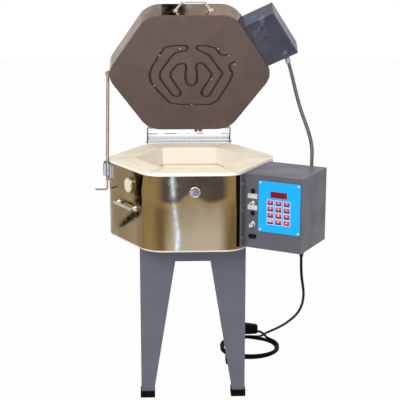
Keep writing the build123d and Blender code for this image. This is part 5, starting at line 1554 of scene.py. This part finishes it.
@dataclass
class PeepholePlugs:
    """The two pull-out plugs: polished cap with a dished face, fired stem."""

    front: tuple[str, str, str, float, float] = (
        "front_peephole_plug", "front_peephole_cap", "front_plug", -90.0, 17.0)
    side: tuple[str, str, str, float, float] = (
        "side_peephole_plug", "side_peephole_cap", "side_plug", -150.0, 24.0)
    face_margin: float = 3.6
    rim: Span = (0.9, 0.0)
    sink: Span = (1.0, -1.1)
    dome_share: float = 0.34
    dome: float = 0.5

    def plug(self, node: str, name: str, body: str, angle: float, radius: float, face: Kind) -> Object:
        """Builds one plug.

        Args:
            node: The CAD node.
            name: The piece's name.
            body: The body that it rides on.
            angle: Direction in which it pulls out, in degrees.
            radius: The cap's radius.
            face: Finish of the cap's face.

        Returns:
            The plug.
        """
        out = Vector((math.cos(math.radians(angle)), math.sin(math.radians(angle)), 0))
        base = (spot(0, 0, 0) + out * JACKET_FACE * MM).dot(out)
        piece = Bench.from_node(node, name)
        reach = max(v.co.dot(out) for v in piece.data.vertices) - SAME_LEVEL
        front = [f.center for f in piece.data.polygons if f.center.dot(out) > reach]
        middle = sum(front, Vector()) / len(front)
        Bench.inset(piece, lambda f: f.normal.dot(out) > 0.999 and f.center.dot(out) > reach,
                    self.rim, self.sink, (radius * self.dome_share, self.dome))
        for kind in (Kind.CERAMIC, Kind.CAP_BAND, face):
            piece.data.materials.append(kind.cloth())
        for f in piece.data.polygons:
            away = f.center - middle
            away -= out * away.dot(out)
            on_face = f.normal.dot(out) > 0.7 and away.length < (radius - self.face_margin) * MM
            f.material_index = 0 if f.center.dot(out) < base - SAME_LEVEL else 2 if on_face else 1
        Bench.soften(piece, 0.25)
        return fit(piece, "plug_metal", body)

    def build(self) -> list[Object]:
        """Builds both plugs."""
        return [self.plug(*self.front, Kind.FRONT_CAP), self.plug(*self.side, Kind.SIDE_CAP)]


@dataclass
class SwitchColumn:
    """Fine metal parts of the switches: fluted knob, toggle nut and bushing, lamp bezels."""

    n: float = 31.0
    toggle_z: float = 637.0
    knob_z: float = 573.0
    lamp_zs: Span = (672.6, 606.3)
    flutes: int = 40
    flute: Span = (0.12, -0.45)
    grip: Span = (6.0, 12.0)
    pointer: Point = (1.1, 6.2, 0.5)
    pointer_at: Point = (0.0, 4.3, 13.75)
    nut_radius: float = 5.4
    nut_height: float = 1.8
    nut_at: Point = (0.0, 0.0, 1.7)
    nut_turn: float = 0.3
    knob_profile: tuple[Span, ...] = ((8.6, 1.6), (9.4, 2.2), (9.4, 3.8), (8.2, 5.0), (8.0, 5.4),
                                      (7.6, 12.4), (6.9, 13.4), (6.1, 13.7), (5.7, 13.3), (2.0, 13.9))
    washer_profile: tuple[Span, ...] = ((6.1, 0.02), (6.1, 0.6), (5.6, 0.8))
    bushing_profile: tuple[Span, ...] = ((3.4, 2.6), (3.4, 3.0), (3.15, 3.2), (3.4, 3.4), (3.15, 3.6),
                                         (3.05, 3.72))
    bezel_profile: tuple[Span, ...] = ((7.4, 0.02), (7.4, 0.5), (7.0, 0.9), (6.4, 0.9), (6.3, 0.5))

    def on_panel(self, z: float) -> Matrix:
        """Place on the panel, with Z outward and Y up."""
        return box_place(self.n, PANEL_T, z) @ UPRIGHT

    def knob(self) -> Object:
        """Makes the skirted metal knob with a fluted grip, a domed cap and a pointer.

        Returns:
            The knob.
        """
        skirt = Bench.turned(self.knob_profile, "knob_body", self.flutes)
        step = 2 * math.pi / self.flutes
        low, high = (level * MM for level in self.grip)
        Bench.pick(skirt, lambda f: low < f.center.z < high
                   and round(math.atan2(f.center.y, f.center.x) / step - 0.5) % 2 == 0)
        width, height = self.flute
        bpy.ops.mesh.inset(thickness=width * MM, depth=height * MM, use_individual=True)
        Bench.done()
        Bench.soften(skirt, 0.12)
        dress(skirt, Kind.CHROME.cloth())
        pointer = Bench.block(self.pointer, self.pointer_at, "knob_pointer")
        Bench.taper(pointer, lambda f: f.normal.y > 0.9, (0.45, 1.0, 1.0))
        Bench.soften(pointer, 0.1)
        dress(pointer, Kind.BLACK.cloth())
        knob = Bench.weld([skirt, pointer], "fluted_selector_knob")
        Bench.place(knob, self.on_panel(self.knob_z))
        return fit(knob, "chrome_trim", "selector", "selector_knob")

    def toggle_mount(self) -> Object:
        """Makes the hexagonal nut, washer and threaded bushing round the toggle's lever.

        Returns:
            The three as one piece.
        """
        washer = Bench.turned(self.washer_profile, "washer")
        Bench.soften(washer, 0.1)
        nut = Bench.round(self.nut_radius, self.nut_height, self.nut_at, "toggle_nut", 6,
                          (0, 0, self.nut_turn))
        Bench.inset(nut, lambda f: f.normal.z > 0.9, (0.7, 0.25))
        Bench.soften(nut, 0.2)
        bushing = Bench.turned(self.bushing_profile, "bushing")
        Bench.soften(bushing, 0.06)
        mount = Bench.weld([washer, nut, bushing], "toggle_mounting_nut")
        Bench.place(mount, self.on_panel(self.toggle_z))
        dress(mount, Kind.CHROME.cloth())
        return fit(mount, "chrome_trim", "base")

    def bezels(self) -> Object:
        """Makes the thin dark rings round the lamps' lenses.

        Returns:
            The rings as one piece.
        """
        model = Bench.turned(self.bezel_profile, "bezel")
        Bench.soften(model, 0.1)
        bezels = Bench.row(model, [self.on_panel(z) for z in self.lamp_zs], "lamp_bezels")
        dress(bezels, Kind.BLACK.cloth())
        return fit(bezels, "switch_black", "base")

    def build(self) -> list[Object]:
        """Builds the parts."""
        return [self.knob(), self.toggle_mount(), self.bezels()]


@dataclass
class ScrewCrosses:
    """Black crosses on the four screws of the keypad plate: painted shade for their cross recesses."""

    plate_n: float = 116.0
    plate_z: float = 631.0
    half_n: float = 60.0
    half_z: float = 70.0
    head_out: float = 4.3
    bar: Point = (3.4, 0.75, 0.16)
    turn: float = 0.5
    turn_change: float = 0.3

    def build(self) -> list[Object]:
        """Builds the crosses.

        Returns:
            The crosses as one piece.
        """
        bar = Bench.block(self.bar, (0, 0, 0), "cross_bar")
        Bench.taper(bar, lambda f: f.normal.z > 0.9, (0.9, 0.7, 1.0))
        places = []
        for side in (-1, 1):
            first = self.turn + side * self.turn_change
            for up in (-1, 1):
                head = box_place(self.plate_n + side * self.half_n, PANEL_T - self.head_out,
                                 self.plate_z + up * self.half_z) @ UPRIGHT
                places += [head @ Matrix.Rotation(turn, 4, "Z") for turn in (first, first + QUARTER)]
        crosses = Bench.row(bar, places, "plate_screw_crosses")
        # Black crosses: painted shade where the recesses are.
        dress(crosses, Kind.BLACK.cloth())
        return [fit(crosses, "zinc_steel", "base")]


@dataclass
class LidPins:
    """Ceramic pins that hold the element in the lid's groove."""

    places: tuple[Span, ...] = (
        (85.9, -103.8), (119.7, -78.2), (141.1, -43.3), (68.8, 16.6), (-94.0, -78.0), (-112.0, 42.0),
        (8.0, 121.0), (-31.0, -106.0),
    )
    profile: tuple[Span, ...] = ((1.9, 0.6), (1.9, -0.05), (1.5, -0.25), (0.6, -0.3))
    face_z: float = RIM_Z + 0.3

    def build(self) -> list[Object]:
        """Builds the pins, drawn on the closed lid and turned up with it.

        Returns:
            The pins as one piece.
        """
        model = Bench.turned(self.profile, "pin", 16)
        Bench.soften(model, 0.1)
        places = [lid_open() @ Matrix.Translation(spot(x, y, self.face_z)) for x, y in self.places]
        pins = Bench.row(model, places, "element_pins")
        dress(pins, Kind.CERAMIC.cloth())
        return [fit(pins, "probe_ceramic", "lid")]


@dataclass
class Keypad:
    """The controller's keys with their pale surrounds, legends and the display's digits."""

    top_z: float = 644.6
    pitch_n: float = 25.7
    pitch_z: float = 18.9
    key_w: float = 18.0
    key_h: float = 13.5
    split: float = 1.0
    names: tuple[str, ...] = ("1", "2", "3", "4", "5", "6", "7", "8", "9", "stop", "0", "start")
    red: Colour = (0.66, 0.035, 0.060)
    shade_navy: Colour = (0.030, 0.035, 0.145)
    start_red: Colour = (0.70, 0.025, 0.045)
    stop_pink: Colour = (0.72, 0.27, 0.36)
    film: float = 0.12
    surround_past: Span = (4.6, 4.2)
    surround_w: float = 1.9
    surround_out: float = 0.07
    figure_size: float = 9.0
    figure_depth: float = 0.06
    figure_weight: float = 0.18
    sign_radius: float = 3.2
    legend_out: float = 0.85
    legend_up: float = 1.8
    digit_z: float = 669.0
    digit_out: float = 0.46
    digit_pitch: float = 10.5
    digit_columns: tuple[float, ...] = (-1.5, -0.5, 0.5, 1.5)
    digit_bar: Point = (4.0, 0.10, 1.0)
    digit_bars: tuple[tuple[str, float, float], ...] = (
        ("h", 0, 5.4), ("h", 0, 0), ("h", 0, -5.4), ("v", -2.6, 2.7), ("v", 2.6, 2.7),
        ("v", -2.6, -2.7), ("v", 2.6, -2.7))

    def spot_of(self, index: int) -> Span:
        """Centre of a key: distance out from the brick's flat, and level."""
        row, column = divmod(index, 3)
        return KEYPAD_N + (column - 1) * self.pitch_n, self.top_z - row * self.pitch_z

    def key(self, index: int) -> Object:
        """Dresses a key.

        Args:
            index: Its number, by row.

        Returns:
            The key.
        """
        name = self.names[index]
        _, z = self.spot_of(index)
        # A key's dark blue lower part is painted shade; the start key has none.
        upper, lower = self.red, self.shade_navy
        if name == "start":
            upper = lower = self.start_red
        elif name == "stop":
            upper = self.stop_pink
        material = ShadedKey("key_shaded_" + name, upper, lower, (z - self.split) * MM).material()
        piece = Bench.from_node("key_" + name, "membrane_key_" + name, 0.3)
        dress(piece, material)
        return fit(piece, "key_red", "key_" + name + "_button")

    def surrounds(self) -> Object:
        """Prints the pale frame around every key, just proud of the blue plate.

        Returns:
            The frames as one piece.
        """
        frames = []
        for index in range(len(self.names)):
            n, z = self.spot_of(index)
            wide, high = self.key_w + self.surround_past[0], self.key_h + self.surround_past[1]
            ring = Bench.block((wide, self.film, high), (0, 0, 0), "surround")
            Bench.pick(ring, lambda f: abs(f.normal.y) > 0.5)
            bpy.ops.mesh.inset(thickness=self.surround_w * MM, depth=0.0)
            bpy.ops.mesh.bridge_edge_loops()
            Bench.done()
            Bench.soften(ring, 0.04)
            Bench.place(ring, box_place(n, PANEL_T - PLATE_T - self.surround_out, z))
            frames.append(ring)
        sheet = Bench.weld(frames, "key_surrounds")
        dress(sheet, Kind.KEY_SURROUND.cloth())
        return fit(sheet, "control_blue", "base")

    def figure(self, name: str) -> Object:
        """Makes a raised figure.

        Args:
            name: The figure.

        Returns:
            The figure, standing up at the origin.
        """
        data = bpy.data.curves.new("legend_" + name, "FONT")
        data.body = name
        data.size = self.figure_size * MM
        data.align_x = "CENTER"
        data.align_y = "CENTER"
        data.extrude = self.figure_depth * MM
        data.offset = self.figure_weight * MM
        mark = bpy.data.objects.new("key_legend_" + name, data)
        bpy.context.collection.objects.link(mark)
        Bench.only(mark)
        bpy.ops.object.convert(target="MESH")
        mark = bpy.context.object
        Bench.place(mark, UPRIGHT)
        return mark

    def sign(self, name: str) -> Object:
        """Makes the raised square of the stop key or the triangle of the start key.

        Args:
            name: The key's name.

        Returns:
            The sign, standing up at the origin.
        """
        sides, angle = (4, math.pi / 4) if name == "stop" else (3, -QUARTER)
        mark = Bench.round(self.sign_radius, self.film, (0, 0, 0), "key_legend_" + name, sides)
        Bench.inset(mark, lambda f: f.normal.z > 0.9, (0.5, 0.03))
        Bench.place(mark, UPRIGHT @ Matrix.Rotation(angle, 4, "Z"))
        return mark

    def legend(self, index: int) -> Object:
        """Sets the figure or sign on a key.

        Args:
            index: The key's number, by row.

        Returns:
            The legend.
        """
        name = self.names[index]
        n, z = self.spot_of(index)
        mark = self.figure(name) if name.isdigit() else self.sign(name)
        Bench.place(mark, box_place(n, PANEL_T - PLATE_T - self.legend_out, z + self.legend_up))
        dress(mark, Kind.LEGEND.cloth())
        return fit(mark, "key_red", "key_" + name + "_button")

    def digits(self) -> Object:
        """Makes four seven-segment figures on the display's red window.

        Returns:
            The figures as one piece.
        """
        model = Bench.block(self.digit_bar, (0, 0, 0), "segment")
        Bench.taper(model, lambda f: abs(f.normal.x) > 0.9, (1.0, 1.0, 0.3))
        places = []
        for column in self.digit_columns:
            for way, x, z in self.digit_bars:
                turn = Matrix.Rotation(QUARTER if way == "v" else 0.0, 4, "Y")
                places.append(Matrix.Translation(Vector((x + column * self.digit_pitch, 0, z)) * MM) @ turn)
        figures = Bench.row(model, places, "display_figures")
        Bench.place(figures, box_place(KEYPAD_N, PANEL_T - PLATE_T - self.digit_out, self.digit_z))
        dress(figures, Kind.DIGIT.cloth())
        return fit(figures, "display_red", "base")

    def build(self) -> list[Object]:
        """Builds the keypad's pieces.

        Returns:
            The keys, their surrounds, the legends and the digits.
        """
        count = range(len(self.names))
        made = [self.key(index) for index in count]
        made.append(self.surrounds())
        made += [self.legend(index) for index in count]
        made.append(self.digits())
        return made


def main() -> None:
    """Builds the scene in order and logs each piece."""
    logging.basicConfig(level=logging.INFO, format="%(name)s %(message)s")
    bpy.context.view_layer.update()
    Studio().build()
    for label, maker in (("plug", Plug()), ("cord", PowerCord()), ("gland", StrainRelief()),
                         ("conduit", Conduit()), ("shell", Shell()), ("peepholes", PeepholePlugs()),
                         ("switches", SwitchColumn()), ("screws", ScrewCrosses()), ("lid pins", LidPins()),
                         ("keypad", Keypad())):
        for piece in maker.build():
            log.info("%s: %s", label, piece.name)


if __name__ == "__main__":
    main()
